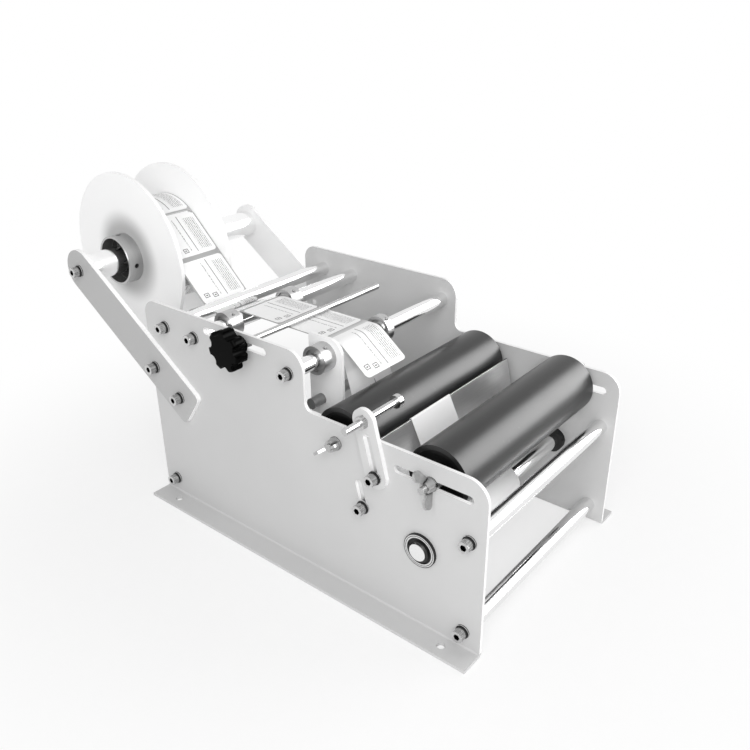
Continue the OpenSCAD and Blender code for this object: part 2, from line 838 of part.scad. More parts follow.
function label_line() =
  let (ahead = [cos(label_way), sin(label_way)])
  concat(
    [[label_bend + [label_held, label_mid_r], half_turn]],
    [for (i = [0 : label_steps])
      let (way = half_turn + label_slope * i / label_steps)
      [label_bend - label_mid_r * left_of(way), way]],
    [[label_bend_end + label_free(label_bend_end, ahead) * ahead, label_way]]
  );

module lifted_label() {
  x0 = near_x + web_x + label_margin;
  color([0.98, 0.98, 0.97]) side_sheet(x0, web_w - 2 * label_margin) ribbon_side(label_line(), label_t);
}

module collar(x, at, length) {
  translate([x, at[0] - half_l, at[1]]) rotate([0, 90, 0]) {
    difference() {
      cylinder(h = length, r = collar_r);
      translate([0, 0, -cut]) cylinder(h = length + 2 * cut, r = rod_r + run_gap);
      translate([0, 0, -cut]) cylinder(h = collar_recess_d + cut, r = collar_recess_r);
      translate([0, 0, length - collar_recess_d]) cylinder(h = collar_recess_d + cut, r = collar_recess_r);
      translate([0, 0, length / 2]) rotate([0, -90, 30]) cylinder(h = collar_r + cut, r = collar_set_r + fit_gap);
    }
    translate([0, 0, length / 2]) rotate([0, -90, 30]) difference() {
      translate([0, 0, rod_r + run_gap]) cylinder(h = collar_r - rod_r - cut, r = collar_set_r);
      translate([0, 0, collar_r - socket_d]) cylinder(h = socket_d, r = collar_set_r / 2, $fn = hex_n);
    }
  }
}

module near_middle_collar() {
  color([0.65, 0.65, 0.67]) collar(near_x + middle_collar_x, middle_rod, collar_l);
}

module far_middle_collar() {
  color([0.65, 0.65, 0.67]) collar(near_x + middle_collar_x + collar_l + middle_collar_span, middle_rod, collar_l);
}

module near_front_collar() {
  color([0.65, 0.65, 0.67]) collar(near_cheek_x - collar_l, front_rod, collar_l);
}

module far_front_collar() {
  color([0.65, 0.65, 0.67]) collar(far_collar_x, front_rod, short_collar_l);
}

module cheek_outline() {
  top = front_rod[1] + cheek_up;
  low = crossbar[1] - cheek_below;
  front = front_rod[0] - cheek_w / 2;
  rear = front_rod[0] + cheek_w / 2;
  difference() {
    union() {
      translate([front + cheek_front_r, low]) square([cheek_w - cheek_front_r - cheek_rear_r, top - low]);
      translate([front, low]) square([cheek_w, top - cheek_front_r - low]);
      translate([rear - cheek_rear_r - cut, low]) square([cheek_rear_r + cut, top - cheek_rear_r - low]);
      translate([front + cheek_front_r, top - cheek_front_r]) circle(cheek_front_r);
      translate([rear - cheek_rear_r, top - cheek_rear_r]) circle(cheek_rear_r);
    }
    translate(front_rod) circle(rod_r + run_gap);
    translate(crossbar) circle(crossbar_r + fit_gap);
    translate(rear_roller) circle(roller_r + cheek_clear);
  }
}

module near_web_cheek() {
  color([0.88, 0.88, 0.89]) side_sheet(near_cheek_x, cheek_t) cheek_outline();
}

module cheek_crossbar() {
  color([0.3, 0.3, 0.32])
    shaft_x(near_cheek_x - crossbar_out, near_x + web_x + web_w + crossbar_far_out, crossbar, crossbar_r);
}

// Rollers

module roller_axle(at, out) {
  shaft_x(near_in + side_gap, far_in - side_gap, at, axle_r);
  shaft_x(near_x - out, far_x + out, at, screw_r);
}

module roller_body(at) {
  x0 = near_in + roller_side;
  x1 = far_in - roller_side;
  difference() {
    union() {
      difference() {
        shaft_x(x0, x1, at, roller_r - sleeve_wall - fit_gap);
        shaft_x(x0 - cut, x1 + cut, at, roller_r - sleeve_wall - tube_wall);
      }
      shaft_x(x0 + end_recess, x0 + end_recess + end_wall, at, roller_r - sleeve_wall - tube_wall + cut);
      shaft_x(x1 - end_recess - end_wall, x1 - end_recess, at, roller_r - sleeve_wall - tube_wall + cut);
      shaft_x(x0, x0 + end_recess + end_wall, at, bearing_boss_r);
      shaft_x(x1 - end_recess - end_wall, x1, at, bearing_boss_r);
    }
    shaft_x(x0 - cut, x1 + cut, at, axle_r + run_gap);
  }
}

module roller_sleeve(at) {
  x0 = near_in + roller_side;
  x1 = far_in - roller_side;
  difference() {
    shaft_x(x0, x1, at, roller_r);
    shaft_x(x0 - cut, x1 + cut, at, roller_r - sleeve_wall);
  }
}

// A wing nut on its seat, its wings along its own X
module wing_nut() {
  tip = wing_span / 2 - wing_tip_r;
  difference() {
    union() {
      cylinder(h = wing_hub_h, r1 = wing_hub_r, r2 = wing_hub_r - wing_t / 2);
      for (e = [0, 180]) rotate([90, 0, e]) translate([0, 0, -wing_t / 2]) linear_extrude(height = wing_t) {
        translate([tip, wing_h - wing_tip_r]) circle(wing_tip_r);
        polygon([
          [0, wing_t / 2],
          [wing_hub_r, wing_t / 2],
          [tip + wing_tip_r * cos(-40), wing_h - wing_tip_r + wing_tip_r * sin(-40)],
          [tip + wing_tip_r * cos(140), wing_h - wing_tip_r + wing_tip_r * sin(140)],
          [wing_hub_r - wing_t, wing_hub_h],
          [0, wing_hub_h]
        ]);
      }
    }
    translate([0, 0, -cut]) cylinder(h = wing_h + 2 * cut, r = screw_r + run_gap);
  }
}

module wing_nuts(at, turn) {
  on_near(at) translate([0, 0, washer_t]) rotate([0, 0, turn]) wing_nut();
  on_far(at) translate([0, 0, washer_t]) rotate([0, 0, turn]) wing_nut();
}

module rear_roller_axle() {
  color([0.7, 0.7, 0.72]) roller_axle(rear_roller, rear_axle_out);
}

module rear_roller_body() {
  color([0.15, 0.15, 0.16]) roller_body(rear_roller);
}

module rear_roller_sleeve() {
  color([0.08, 0.08, 0.08]) roller_sleeve(rear_roller);
}

module rear_wing_nuts() {
  color([0.6, 0.6, 0.62]) wing_nuts(rear_roller, rear_wing_angle);
}

module front_roller_axle() {
  color([0.7, 0.7, 0.72]) roller_axle(front_roller, front_axle_out);
}

module front_axle_washers() {
  color([0.7, 0.7, 0.72]) {
    on_near(front_roller) flat_washer(0);
    on_far(front_roller) flat_washer(0);
  }
}

module front_roller_body() {
  color([0.15, 0.15, 0.16]) roller_body(front_roller);
}

module front_roller_sleeve() {
  color([0.08, 0.08, 0.08]) roller_sleeve(front_roller);
}

module front_wing_nuts() {
  color([0.6, 0.6, 0.62]) wing_nuts(front_roller, front_wing_angle);
}

// Peel plate: its own X is the machine's, its Y runs down the face and its Z to the rear
module on_peel() {
  translate([0, peel_edge[0] - half_l, peel_edge[1]]) rotate([-90 - peel_lean, 0, 0])
    children();
}

module peel_plate() {
  side = inner_w / 2 - run_gap;
  color([0.82, 0.83, 0.84]) on_peel() {
    rotate([0, 90, 0]) translate([0, 0, -inner_w / 2 + peel_inset])
      cylinder(h = inner_w - 2 * peel_inset, r = peel_t / 2);
    translate([-inner_w / 2 + peel_inset, 0, -peel_t / 2])
      cube([inner_w - 2 * peel_inset, peel_top_l + cut, peel_t]);
    translate([-side, peel_top_l, -peel_t / 2]) cube([2 * side, peel_l - peel_top_l, peel_t]);
    for (e = [-1, 1]) difference() {
      translate([e < 0 ? -side : side - peel_t, peel_top_l, -peel_t / 2])
        cube([peel_t, peel_l - peel_top_l, ear_l + peel_t / 2]);
      translate([e * side, peel_screw_u, peel_screw_v]) rotate([0, 90, 0])
        translate([0, 0, -peel_t - cut]) cylinder(h = 2 * (peel_t + cut), r = wall_clear);
    }
  }
}

module peel_screws() {
  color([0.6, 0.6, 0.62]) {
    on_near(peel_screw) cap_screw(-plate_t - peel_t - nut_h - cut, stack);
    on_far(peel_screw) cap_screw(-plate_t - peel_t - nut_h - cut, stack);
    on_near(peel_screw) flat_washer(0);
    on_far(peel_screw) flat_washer(0);
  }
}

module peel_spring_washers() {
  color([0.45, 0.45, 0.47]) {
    on_near(peel_screw) spring_washer(washer_t);
    on_far(peel_screw) spring_washer(washer_t);
  }
}

module peel_nuts() {
  color([0.6, 0.6, 0.62]) {
    on_near(peel_screw) nut(-plate_t - run_gap - peel_t - nut_h, nut_h);
    on_far(peel_screw) nut(-plate_t - run_gap - peel_t - nut_h, nut_h);
  }
}

// Take-up shaft and crank

clip_near_x = near_x - bearing_flange_t - clip_t - side_gap;
clip_far_x = far_x + bearing_flange_t + side_gap;
crank_x0 = far_x + bearing_flange_t + crank_side;
crank_end = [drive[0] + crank_l * cos(crank_angle), drive[1] - crank_l * sin(crank_angle)];

module drive_shaft() {
  color([0.8, 0.8, 0.82]) difference() {
    shaft_x(clip_near_x - clip_t, crank_x0 + crank_hub_l, drive, drive_r);
    for (x = [clip_near_x, clip_far_x]) difference() {
      shaft_x(x - fit_gap, x + clip_t + fit_gap, drive, drive_r + cut);
      shaft_x(x - cut, x + clip_t + cut, drive, drive_r - clip_groove);
    }
  }
}

module shaft_bearing() {
  difference() {
    union() {
      cylinder(h = bearing_flange_t, r = bearing_flange_r);
      translate([0, 0, -bearing_l]) cylinder(h = bearing_l + cut, r = bearing_r);
    }
    translate([0, 0, bearing_flange_t - bearing_recess])
      cylinder(h = bearing_recess + cut, r = bearing_r);
    translate([0, 0, -bearing_l - cut]) cylinder(h = bearing_l + bearing_flange_t + 2 * cut, r = drive_r + run_gap);
  }
}

module shaft_bearings() {
  color([0.5, 0.5, 0.52]) {
    on_near(drive) shaft_bearing();
    on_far(drive) shaft_bearing();
  }
}

module retaining_ring(x) {
  translate([x, drive[0] - half_l, drive[1]]) rotate([0, 90, 0]) difference() {
    cylinder(h = clip_t, r = drive_r + clip_w);
    translate([0, 0, -cut]) cylinder(h = clip_t + 2 * cut, r = drive_r - clip_groove + fit_gap);
    rotate([0, 0, 135]) translate([0, -drive_r / 2, -cut]) cube([drive_r + clip_w + cut, drive_r, clip_t + 2 * cut]);
  }
}

module shaft_retaining_rings() {
  color([0.3, 0.3, 0.32]) {
    retaining_ring(clip_near_x);
    retaining_ring(clip_far_x);
  }
}

module wound_liner() {
  color([0.95, 0.95, 0.93]) difference() {
    shaft_x(near_x + wound_x0, near_x + wound_x1, drive, wound_r);
    shaft_x(near_x + wound_x0 - cut, near_x + wound_x1 + cut, drive, drive_r + fit_gap);
  }
}

// The crank lies in its own XY plane, its arm along +X
module at_crank() {
  translate([crank_x0, drive[0] - half_l, drive[1]]) rotate([-crank_angle, 0, 0])
    rotate([90, 0, 90]) children();
}

module crank_arm() {
  color([0.3, 0.3, 0.32]) at_crank() difference() {
    union() {
      cylinder(h = crank_hub_l, r = crank_hub_r);
      translate([0, 0, crank_hub_l - crank_t]) linear_extrude(height = crank_t)
        slot_2d([0, 0], [crank_l, 0], crank_w / 2);
    }
    translate([0, 0, -cut]) cylinder(h = crank_hub_l + 2 * cut, r = drive_r + fit_gap);
    translate([crank_l, 0, 0]) cylinder(h = crank_hub_l + cut, r = grip_pin_r + fit_gap);
    translate([0, 0, (crank_hub_l - crank_t) / 2]) rotate([-90, 0, 0])
      cylinder(h = crank_hub_r + cut, r = crank_set_r + fit_gap);
  }
}

module crank_screw() {
  color([0.45, 0.45, 0.47]) at_crank() translate([0, 0, (crank_hub_l - crank_t) / 2]) rotate([-90, 0, 0])
    difference() {
      translate([0, 0, drive_r]) cylinder(h = crank_hub_r - drive_r - cut, r = crank_set_r);
      translate([0, 0, crank_hub_r - socket_d]) cylinder(h = socket_d, r = crank_set_r / 2, $fn = hex_n);
    }
}

module crank_pin() {
  color([0.7, 0.7, 0.72]) at_crank() translate([crank_l, 0, 0]) {
    translate([0, 0, crank_hub_l - crank_t]) cylinder(h = crank_t + grip_l + 3 * side_gap, r = grip_pin_r);
    translate([0, 0, crank_hub_l + grip_l + 2 * side_gap]) cylinder(h = grip_pin_head_h, r = grip_pin_head_r);
  }
}

// The grip bulges at its middle: a turned profile with an arc for its side
module crank_grip() {
  bulge = grip_r - grip_end_r;
  arc_r = (pow(grip_l / 2, 2) + pow(bulge, 2)) / (2 * bulge);
  color([0.08, 0.08, 0.08]) at_crank() translate([crank_l, 0, crank_hub_l + side_gap]) rotate_extrude()
    intersection() {
      translate([grip_pin_r + run_gap, 0]) square([grip_r, grip_l]);
      translate([grip_r - arc_r, grip_l / 2]) circle(arc_r, $fn = 360);
    }
}

// Bottle stop

module strap_outline() {
  difference() {
    slot_2d(stop_screw, stop_pin_at, strap_w / 2);
    slot_2d(stop_screw, stop_screw + strap_slot_l * stop_dir, slot_r);
    translate(stop_pin_at) circle(screw_r + run_gap);
  }
}

module stop_strap() {
  color([0.8, 0.81, 0.82]) side_sheet(near_x - strap_t, strap_t) strap_outline();
}

module stop_clamp_screw() {
  color([0.6, 0.6, 0.62]) {
    on_near(stop_screw) cap_screw(-plate_t - nut_h - cut, strap_t + stack);
    on_near(stop_screw) flat_washer(strap_t);
  }
}

module stop_clamp_nut() {
  color([0.6, 0.6, 0.62]) {
    on_near(stop_screw) nut(-plate_t - nut_h, nut_h);
    on_near(stop_screw) spring_washer(strap_t + washer_t);
  }
}

module stop_pin() {
  color([0.7, 0.7, 0.72]) {
    shaft_x(near_x - stop_pin_out, near_x + stop_pin_in, stop_pin_at, screw_r);
    shaft_x(near_x + stop_pin_in - stop_head_l, near_x + stop_pin_in, stop_pin_at, stop_head_r);
  }
}

module stop_pin_nuts() {
  color([0.6, 0.6, 0.62]) {
    on_near(stop_pin_at) nut(strap_t, nut_h);
    on_near(stop_pin_at) nut(-nut_h, nut_h);
  }
}

// Hold-down rod and knob

module hold_down_rod() {
  color([0.75, 0.75, 0.77]) shaft_x(near_x - knob_neck_h - knob_h / 2, near_in + hold_l, hold, hold_r);
}

module hold_down_nut() {
  color([0.6, 0.6, 0.62]) on_near(hold) translate([0, 0, -plate_t - nut_h]) difference() {
    cylinder(h = nut_h, r = nut_r, $fn = hex_n);
    translate([0, 0, -cut]) cylinder(h = nut_h + 2 * cut, r = hold_r + fit_gap);
  }
}

module star_knob() {
  lobe_at = knob_r - knob_lobe_r;
  color([0.06, 0.06, 0.06]) on_near(hold) difference() {
    union() {
      cylinder(h = knob_neck_h + cut, r = knob_neck_r);
      translate([0, 0, knob_neck_h]) intersection() {
        linear_extrude(height = knob_h) difference() {
          union() {
            circle(lobe_at);
            for (i = [0 : knob_lobes - 1]) rotate(360 / knob_lobes * i) translate([lobe_at, 0]) circle(knob_lobe_r);
          }
          for (i = [0 : knob_lobes - 1]) rotate(360 / knob_lobes * (i + 1 / 2))
            translate([knob_r, 0]) circle(knob_lobe_r);
        }
        rotate_extrude() {
          square([knob_r - knob_edge_r, knob_h]);
          translate([0, knob_edge_r]) square([knob_r, knob_h - 2 * knob_edge_r]);
          translate([knob_r - knob_edge_r, knob_edge_r]) circle(knob_edge_r);
          translate([knob_r - knob_edge_r, knob_h - knob_edge_r]) circle(knob_edge_r);
        }
      }
    }
    translate([0, 0, -cut]) cylinder(h = knob_neck_h + knob_h / 2 + cut + side_gap, r = hold_r + run_gap);
  }
}

near_side_plate();
far_side_plate();
rear_guide_rod();
middle_guide_rod();
front_guide_rod();
upper_tie_rod();
lower_front_tie_rod();
lower_rear_tie_rod();
frame_screws();
frame_spring_washers();
frame_flat_washers();
near_reel_arm();
far_reel_arm();
reel_shaft();
near_reel_hub();
near_hub_set_screws();
near_reel_disc();
roll_core();
label_roll();
far_reel_hub();
far_hub_set_screws();
far_reel_disc();
label_web();
lifted_label();
near_middle_collar();
far_middle_collar();
near_front_collar();
far_front_collar();
near_web_cheek();
cheek_crossbar();
rear_roller_axle();
rear_roller_body();
rear_roller_sleeve();
rear_wing_nuts();
front_roller_axle();
front_axle_washers();
front_roller_body();
front_roller_sleeve();
front_wing_nuts();
peel_plate();
peel_screws();
peel_spring_washers();
peel_nuts();
drive_shaft();
shaft_bearings();
shaft_retaining_rings();
wound_liner();
crank_arm();
crank_screw();
crank_pin();
crank_grip();
stop_strap();
stop_clamp_screw();
stop_clamp_nut();
stop_pin();
stop_pin_nuts();
hold_down_rod();
hold_down_nut();
star_knob();
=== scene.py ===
"""Looks of a manual bottle labelling machine: finishes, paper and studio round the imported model."""

from __future__ import annotations

import json
import logging
import math
from abc import ABC, abstractmethod
from dataclasses import dataclass, field
from enum import Enum
from functools import reduce
from typing import Any, Callable, ClassVar, Iterable, Sequence

import bmesh
import bpy
from mathutils import Matrix, Vector

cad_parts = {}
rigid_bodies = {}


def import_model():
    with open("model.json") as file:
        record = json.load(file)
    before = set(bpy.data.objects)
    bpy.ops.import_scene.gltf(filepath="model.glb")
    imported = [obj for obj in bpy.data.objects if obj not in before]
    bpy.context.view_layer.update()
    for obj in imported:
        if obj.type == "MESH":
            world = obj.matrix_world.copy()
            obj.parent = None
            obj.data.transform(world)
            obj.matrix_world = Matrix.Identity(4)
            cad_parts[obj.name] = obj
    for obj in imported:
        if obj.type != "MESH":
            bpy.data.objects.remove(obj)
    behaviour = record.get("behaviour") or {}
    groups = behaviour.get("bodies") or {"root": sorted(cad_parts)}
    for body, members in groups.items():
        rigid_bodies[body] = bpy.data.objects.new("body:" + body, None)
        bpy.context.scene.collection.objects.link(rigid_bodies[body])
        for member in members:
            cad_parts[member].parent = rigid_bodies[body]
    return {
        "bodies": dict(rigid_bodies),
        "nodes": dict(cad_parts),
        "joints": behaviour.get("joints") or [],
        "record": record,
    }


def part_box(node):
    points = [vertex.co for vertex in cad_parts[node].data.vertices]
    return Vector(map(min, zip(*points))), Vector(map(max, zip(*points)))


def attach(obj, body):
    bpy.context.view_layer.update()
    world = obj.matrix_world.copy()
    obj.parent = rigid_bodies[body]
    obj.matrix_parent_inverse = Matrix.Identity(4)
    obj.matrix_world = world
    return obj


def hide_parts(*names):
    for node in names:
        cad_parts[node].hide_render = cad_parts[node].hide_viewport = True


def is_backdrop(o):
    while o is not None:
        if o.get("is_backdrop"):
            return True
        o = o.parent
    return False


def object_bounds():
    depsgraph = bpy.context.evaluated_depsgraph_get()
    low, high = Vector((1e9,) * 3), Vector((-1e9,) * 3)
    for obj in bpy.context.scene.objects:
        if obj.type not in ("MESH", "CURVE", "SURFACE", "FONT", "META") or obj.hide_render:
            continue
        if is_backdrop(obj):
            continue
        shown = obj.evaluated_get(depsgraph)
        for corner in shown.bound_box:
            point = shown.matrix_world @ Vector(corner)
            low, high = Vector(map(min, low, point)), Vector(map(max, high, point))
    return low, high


LOG = logging.getLogger("labeller")

Colour = tuple[float, float, float, float]
Point = tuple[float, float, float]
Row = tuple[float, float, float, float]


def grey(level: float) -> Colour:
    """Return a neutral colour of a linear level."""
    return (level, level, level, 1.0)


class Side(Enum):
    """The side of the running web on which a bend's centre lies."""

    LEFT = 1
    RIGHT = -1


class Edge(Enum):
    """How far a CAD piece's edges are broken, in metres."""

    SHARP = 0.0
    FINE = 0.00015
    SHEET = 0.0004
    SOFT = 0.0008


def hang(name: str, data: bpy.types.ID) -> bpy.types.Object:
    """Put data into the scene.

    Args:
        name: the object's name.
        data: what it shows.

    Returns:
        The new object.
    """
    made = bpy.data.objects.new(name, data)
    bpy.context.scene.collection.objects.link(made)
    return made


def baked(made: bmesh.types.BMesh, name: str) -> bpy.types.Mesh:
    """Turn what was built into a mesh.

    Args:
        made: what was built, which is freed.
        name: the mesh's name.

    Returns:
        The mesh.
    """
    mesh = bpy.data.meshes.new(name)
    made.to_mesh(mesh)
    made.free()
    return mesh


def operator(operation: str, flipped: bool = False) -> Callable[[Value, Value | float], Value]:
    """Return one of Python's two-sided operators as a Math node.

    Args:
        operation: the node's operation.
        flipped: whether the other value comes first, as in the reflected forms.

    Returns:
        The method for the Value class.
    """

    def operate(this: Value, other: Value | float) -> Value:
        """Return the result of the operation."""
        first, second = (other, this) if flipped else (this, other)
        return this.shader.math(operation, first, second)

    return operate


@dataclass(frozen=True)
class Value:
    """One output socket of a shader, with Python's operators for its maths."""

    shader: Shader
    socket: bpy.types.NodeSocket

    __add__ = operator("ADD")
    __radd__ = operator("ADD", True)
    __sub__ = operator("SUBTRACT")
    __rsub__ = operator("SUBTRACT", True)
    __mul__ = operator("MULTIPLY")
    __rmul__ = operator("MULTIPLY", True)
    __truediv__ = operator("DIVIDE")
    __rtruediv__ = operator("DIVIDE", True)
    __pow__ = operator("POWER")
    __rpow__ = operator("POWER", True)
    __lt__ = operator("LESS_THAN")
    __gt__ = operator("GREATER_THAN")

    def __abs__(self) -> Value:
        """Return the size without its sign."""
        return self.shader.math("ABSOLUTE", self)

    def sine(self) -> Value:
        """Return the sine."""
        return self.shader.math("SINE", self)

    def fraction(self) -> Value:
        """Return the part after the point."""
        return self.shader.math("FRACT", self)

    def between(self, low: float, high: float) -> Value:
        """Return 1 where this lies between two limits."""
        return (self > low) * (self < high)

    def ramp(self, low: float, high: float) -> Value:
        """Return a smooth step from 0 at low to 1 at high."""
        return self.shader.node(
            "MapRange",
            {"interpolation_type": "SMOOTHSTEP"},
            {"Value": self, "From Min": low, "From Max": high},
        )


class Shader:
    """The node tree of a material or world, built from Python expressions."""

    def __init__(self, owner: bpy.types.Material | bpy.types.World) -> None:
        """Empty the owner's tree.

        Args:
            owner: the material or world that is shaded.
        """
        owner.use_nodes = True
        self.tree = owner.node_tree
        self.tree.nodes.clear()

    def node(
        self,
        kind: str,
        settings: dict[str, Any] | None = None,
        sockets: dict[str | int, Any] | None = None,
        out: str | int = 0,
    ) -> Value:
        """Make any node.

        Args:
            kind: the node's type, without its prefix.
            settings: what is set on the node first.
            sockets: the values or links of its sockets, by name or number.
            out: the output that is returned.

        Returns:
            The chosen output.
        """
        made = self.tree.nodes.new(f"ShaderNode{kind}")
        for key, value in (settings or {}).items():
            setattr(made, key, value)
        for key, value in (sockets or {}).items():
            if isinstance(value, Value):
                self.tree.links.new(value.socket, made.inputs[key])
            else:
                made.inputs[key].default_value = value
        return Value(self, made.outputs[out] if made.outputs else None)

    def math(self, operation: str, first: Value | float, second: Value | float | None = None) -> Value:
        """Add a Math node.

        Args:
            operation: the node's operation.
            first: the first value.
            second: the second value, if the operation has one.

        Returns:
            The result.
        """
        sockets: dict[str | int, Any] = {0: first}
        if second is not None:
            sockets[1] = second
        return self.node("Math", {"operation": operation}, sockets)

    def place(self) -> Value:
        """Return the place on the object, in metres."""
        return self.node("TexCoord", out="Object")

    def facing(self) -> Value:
        """Return the surface's own direction."""
        return self.node("TexCoord", out="Normal")

    def split(self, vector: Value) -> tuple[Value, Value, Value]:
        """Return a vector's three numbers."""
        outs = self.node("SeparateXYZ", None, {0: vector}).socket.node.outputs
        return tuple(Value(self, out) for out in outs)

    def scaled(self, *scale: float, at: Value | None = None) -> Value:
        """Return the place, or another vector, stretched along each axis."""
        return self.node("VectorMath", {"operation": "MULTIPLY"}, {0: at or self.place(), 1: scale})

    def noise(
        self, scale: float, detail: float = 2.0, rough: float = 0.5, at: Value | None = None
    ) -> Value:
        """Return a noise from 0 to 1 by the place, or by another vector."""
        sockets = {"Vector": at or self.place(), "Scale": scale, "Detail": detail, "Roughness": rough}
        return self.node("TexNoise", None, sockets)

    def blend(self, share: Value | float, low: Value | Colour, high: Value | Colour) -> Value:
        """Return a colour between two colours."""
        return self.node("Mix", {"data_type": "RGBA"}, {0: share, 6: low, 7: high}, 2)

    def tones(self, share: Value, level: float, low: float, high: float) -> Value:
        """Return a grey between two parts of its level."""
        return self.blend(share, grey(level * low), grey(min(1.0, level * high)))

    def bump(self, height: Value, distance: float, strength: float = 1.0) -> Value:
        """Return the bent normal of a height in units of a distance in metres."""
        sockets = {"Height": height, "Distance": distance, "Strength": strength}
        return self.node("Bump", None, sockets)

    def greatest(self, *values: Value) -> Value:
        """Return the greatest of some values."""
        return reduce(lambda one, other: self.math("MAXIMUM", one, other), values)

    def radius(self, centre: Sequence[float]) -> Value:
        """Return the distance from an axis along X through a centre."""
        _, y, z = self.split(self.place())
        return ((y - centre[1]) ** 2.0 + (z - centre[2]) ** 2.0) ** 0.5

    def seen(self) -> Value:
        """Return 1 for the rays that show a thing and 0 for those that only light others."""
        kinds = ("Is Camera Ray", "Is Glossy Ray", "Is Transmission Ray")
        return self.greatest(*(self.node("LightPath", out=kind) for kind in kinds))

    def surface(self, colour: Value | Colour, rough: Value | float, normal: Value, **sockets: Any) -> None:
        """End the tree in a plain surface.

        Args:
            colour: the base colour.
            rough: the roughness.
            normal: the bent normal.
            sockets: any other of its sockets, with underscores for their spaces.
        """
        named = {key.replace("_", " "): value for key, value in sockets.items()}
        named.update({"Base Color": colour, "Roughness": rough, "Normal": normal})
        body = self.node("BsdfPrincipled", None, named)
        self.node("OutputMaterial", None, {"Surface": body})


@dataclass(frozen=True)
class Finish(ABC):
    """A named finish that dresses pieces."""

    made: ClassVar[dict[str, bpy.types.Material]] = {}
    name: str

    @abstractmethod
    def build(self, shader: Shader) -> None:
        """Fill the material's tree.

        Args:
            shader: the tree.
        """

    def material(self) -> bpy.types.Material:
        """Make the finish's material, or find it again.

        Returns:
            The material.
        """
        if self.name not in self.made:
            material = bpy.data.materials.new(self.name)
            self.build(Shader(material))
            self.made[self.name] = material
        return self.made[self.name]


@dataclass(frozen=True)
class SheetPaint(Finish):
    """Powder-coated sheet with a few specks of dust, and a painted highlight: its edges and every face
    that does not face along X are drawn in a pale colour.
    """

    colour: float = 0.59
    # edge is the colour of the painted highlight on the edges and on faces that do not face along X.
    edge: float = 0.95
    rough: float = 0.42
    specks: float = 1.0
    foot: float = 0.004

    def build(self, shader: Shader) -> None:
        """Fill the material's tree.

        Args:
            shader: the tree.
        """
        place = shader.place()
        across, _, _ = shader.split(shader.facing())
        _, _, height = shader.split(place)
        # Painted highlight: faces that do not face along X, above the foot, take the pale edge colour
        # instead of the paint.
        face = shader.greatest(abs(across).ramp(0.35, 0.9), height < self.foot)
        cloud = shader.noise(9.0, 3.0)
        grain = shader.noise(900.0)
        dots = shader.node("TexVoronoi", None, {"Vector": place, "Scale": 34.0})
        size = shader.noise(21.0, 1.0).ramp(0.6, 0.7) * self.specks
        speck = (dots < 0.03) * size
        flat = shader.tones(cloud, self.colour, 0.95, 1.05)
        dusty = shader.blend(speck * 0.75, flat, grey(0.04))
        colour = shader.blend(face, grey(self.edge), dusty)
        shader.surface(colour, self.rough + 0.1 * grain, shader.bump(grain, 0.00002, 0.5))


@dataclass(frozen=True)
class Polished(Finish):
    """Chromed or polished round stock with fine turning lines and smears."""

    level: float = 0.85
    rough: float = 0.08
    lines: float = 2600.0

    def build(self, shader: Shader) -> None:
        """Fill the material's tree.

        Args:
            shader: the tree.
        """
        smear = shader.noise(26.0, 3.0, 0.6)
        rings = shader.noise(self.lines, at=shader.scaled(1.0, 0.02, 0.02))
        colour = shader.tones(smear, self.level, 0.93, 1.05)
        shader.surface(
            colour,
            self.rough + 0.1 * smear.ramp(0.45, 0.8),
            shader.bump(rings, 0.000012, 0.25),
            Metallic=1.0,
        )


@dataclass(frozen=True)
class Hardware(Finish):
    """Plated or blackened small steel parts, with painted shade darkening their sockets and corners, and
    dark ribs of painted shade on the sides of screw heads.
    """

    level: float = 0.62
    rough: float = 0.26
    metallic: float = 1.0
    # How far the ambient occlusion looks for nearby surfaces when it paints shade, in metres.
    shade_reach: float = 0.004
    # How dark the painted shade of the ribs on the sides of screw heads is.
    knurl_shade: float = 0.0
    # Whether only the part's own surfaces give the painted shade, or also the parts that it touches.
    alone: bool = True

    def build(self, shader: Shader) -> None:
        """Fill the material's tree.

        Args:
            shader: the tree.
        """
        blotch = shader.noise(240.0, 3.0, 0.6)
        fine = shader.noise(2400.0)
        plated = shader.tones(blotch, self.level, 0.7, 1.25)
        # Painted shade: the sides of screw heads get dark ribs, for the shade in their grooves.
        if self.knurl_shade > 0.0:
            across, _, _ = shader.split(shader.facing())
            ribs = shader.noise(2200.0, 1.0, at=shader.scaled(0.02, 1.0, 1.0)).ramp(0.4, 0.6)
            rib_shade = (1.0 - abs(across).ramp(0.3, 0.6)) * ribs * self.knurl_shade
            plated = shader.blend(rib_shade, plated, grey(self.level * 0.16))
        # Painted shade: ambient occlusion darkens sockets, corners and, unless alone, the places where
        # parts touch, down to near black.
        settings = {"only_local": self.alone, "samples": 8}
        unshaded = shader.node("AmbientOcclusion", settings, {"Distance": self.shade_reach}, "AO")
        colour = shader.blend(unshaded.ramp(0.66, 1.0), grey(0.004), plated)
        shader.surface(
            colour,
            self.rough + 0.16 * blotch,
            shader.bump(fine, 0.00003, 0.35),
            Metallic=self.metallic,
        )


@dataclass(frozen=True)
class Threaded(Finish):
    """Plated rod with a rolled thread, drawn with painted highlight on the tops of the thread and painted
    shade in its roots.
    """

    level: float = 0.7
    pitch: float = 0.001

    def build(self, shader: Shader) -> None:
        """Fill the material's tree.

        Args:
            shader: the tree.
        """
        along, _, _ = shader.split(shader.place())
        wave = (along * (2.0 * math.pi / self.pitch)).sine()
        blotch = shader.noise(240.0, 3.0, 0.6)
        # Painted highlight and painted shade: the thread's tops are drawn lighter and its roots darker.
        tops_lit_roots_shaded = shader.tones(wave.ramp(-0.8, 0.8), self.level, 0.45, 1.2)
        shader.surface(tops_lit_roots_shaded, 0.2 + 0.15 * blotch, shader.bump(wave, 0.00022, 0.7), Metallic=1.0)


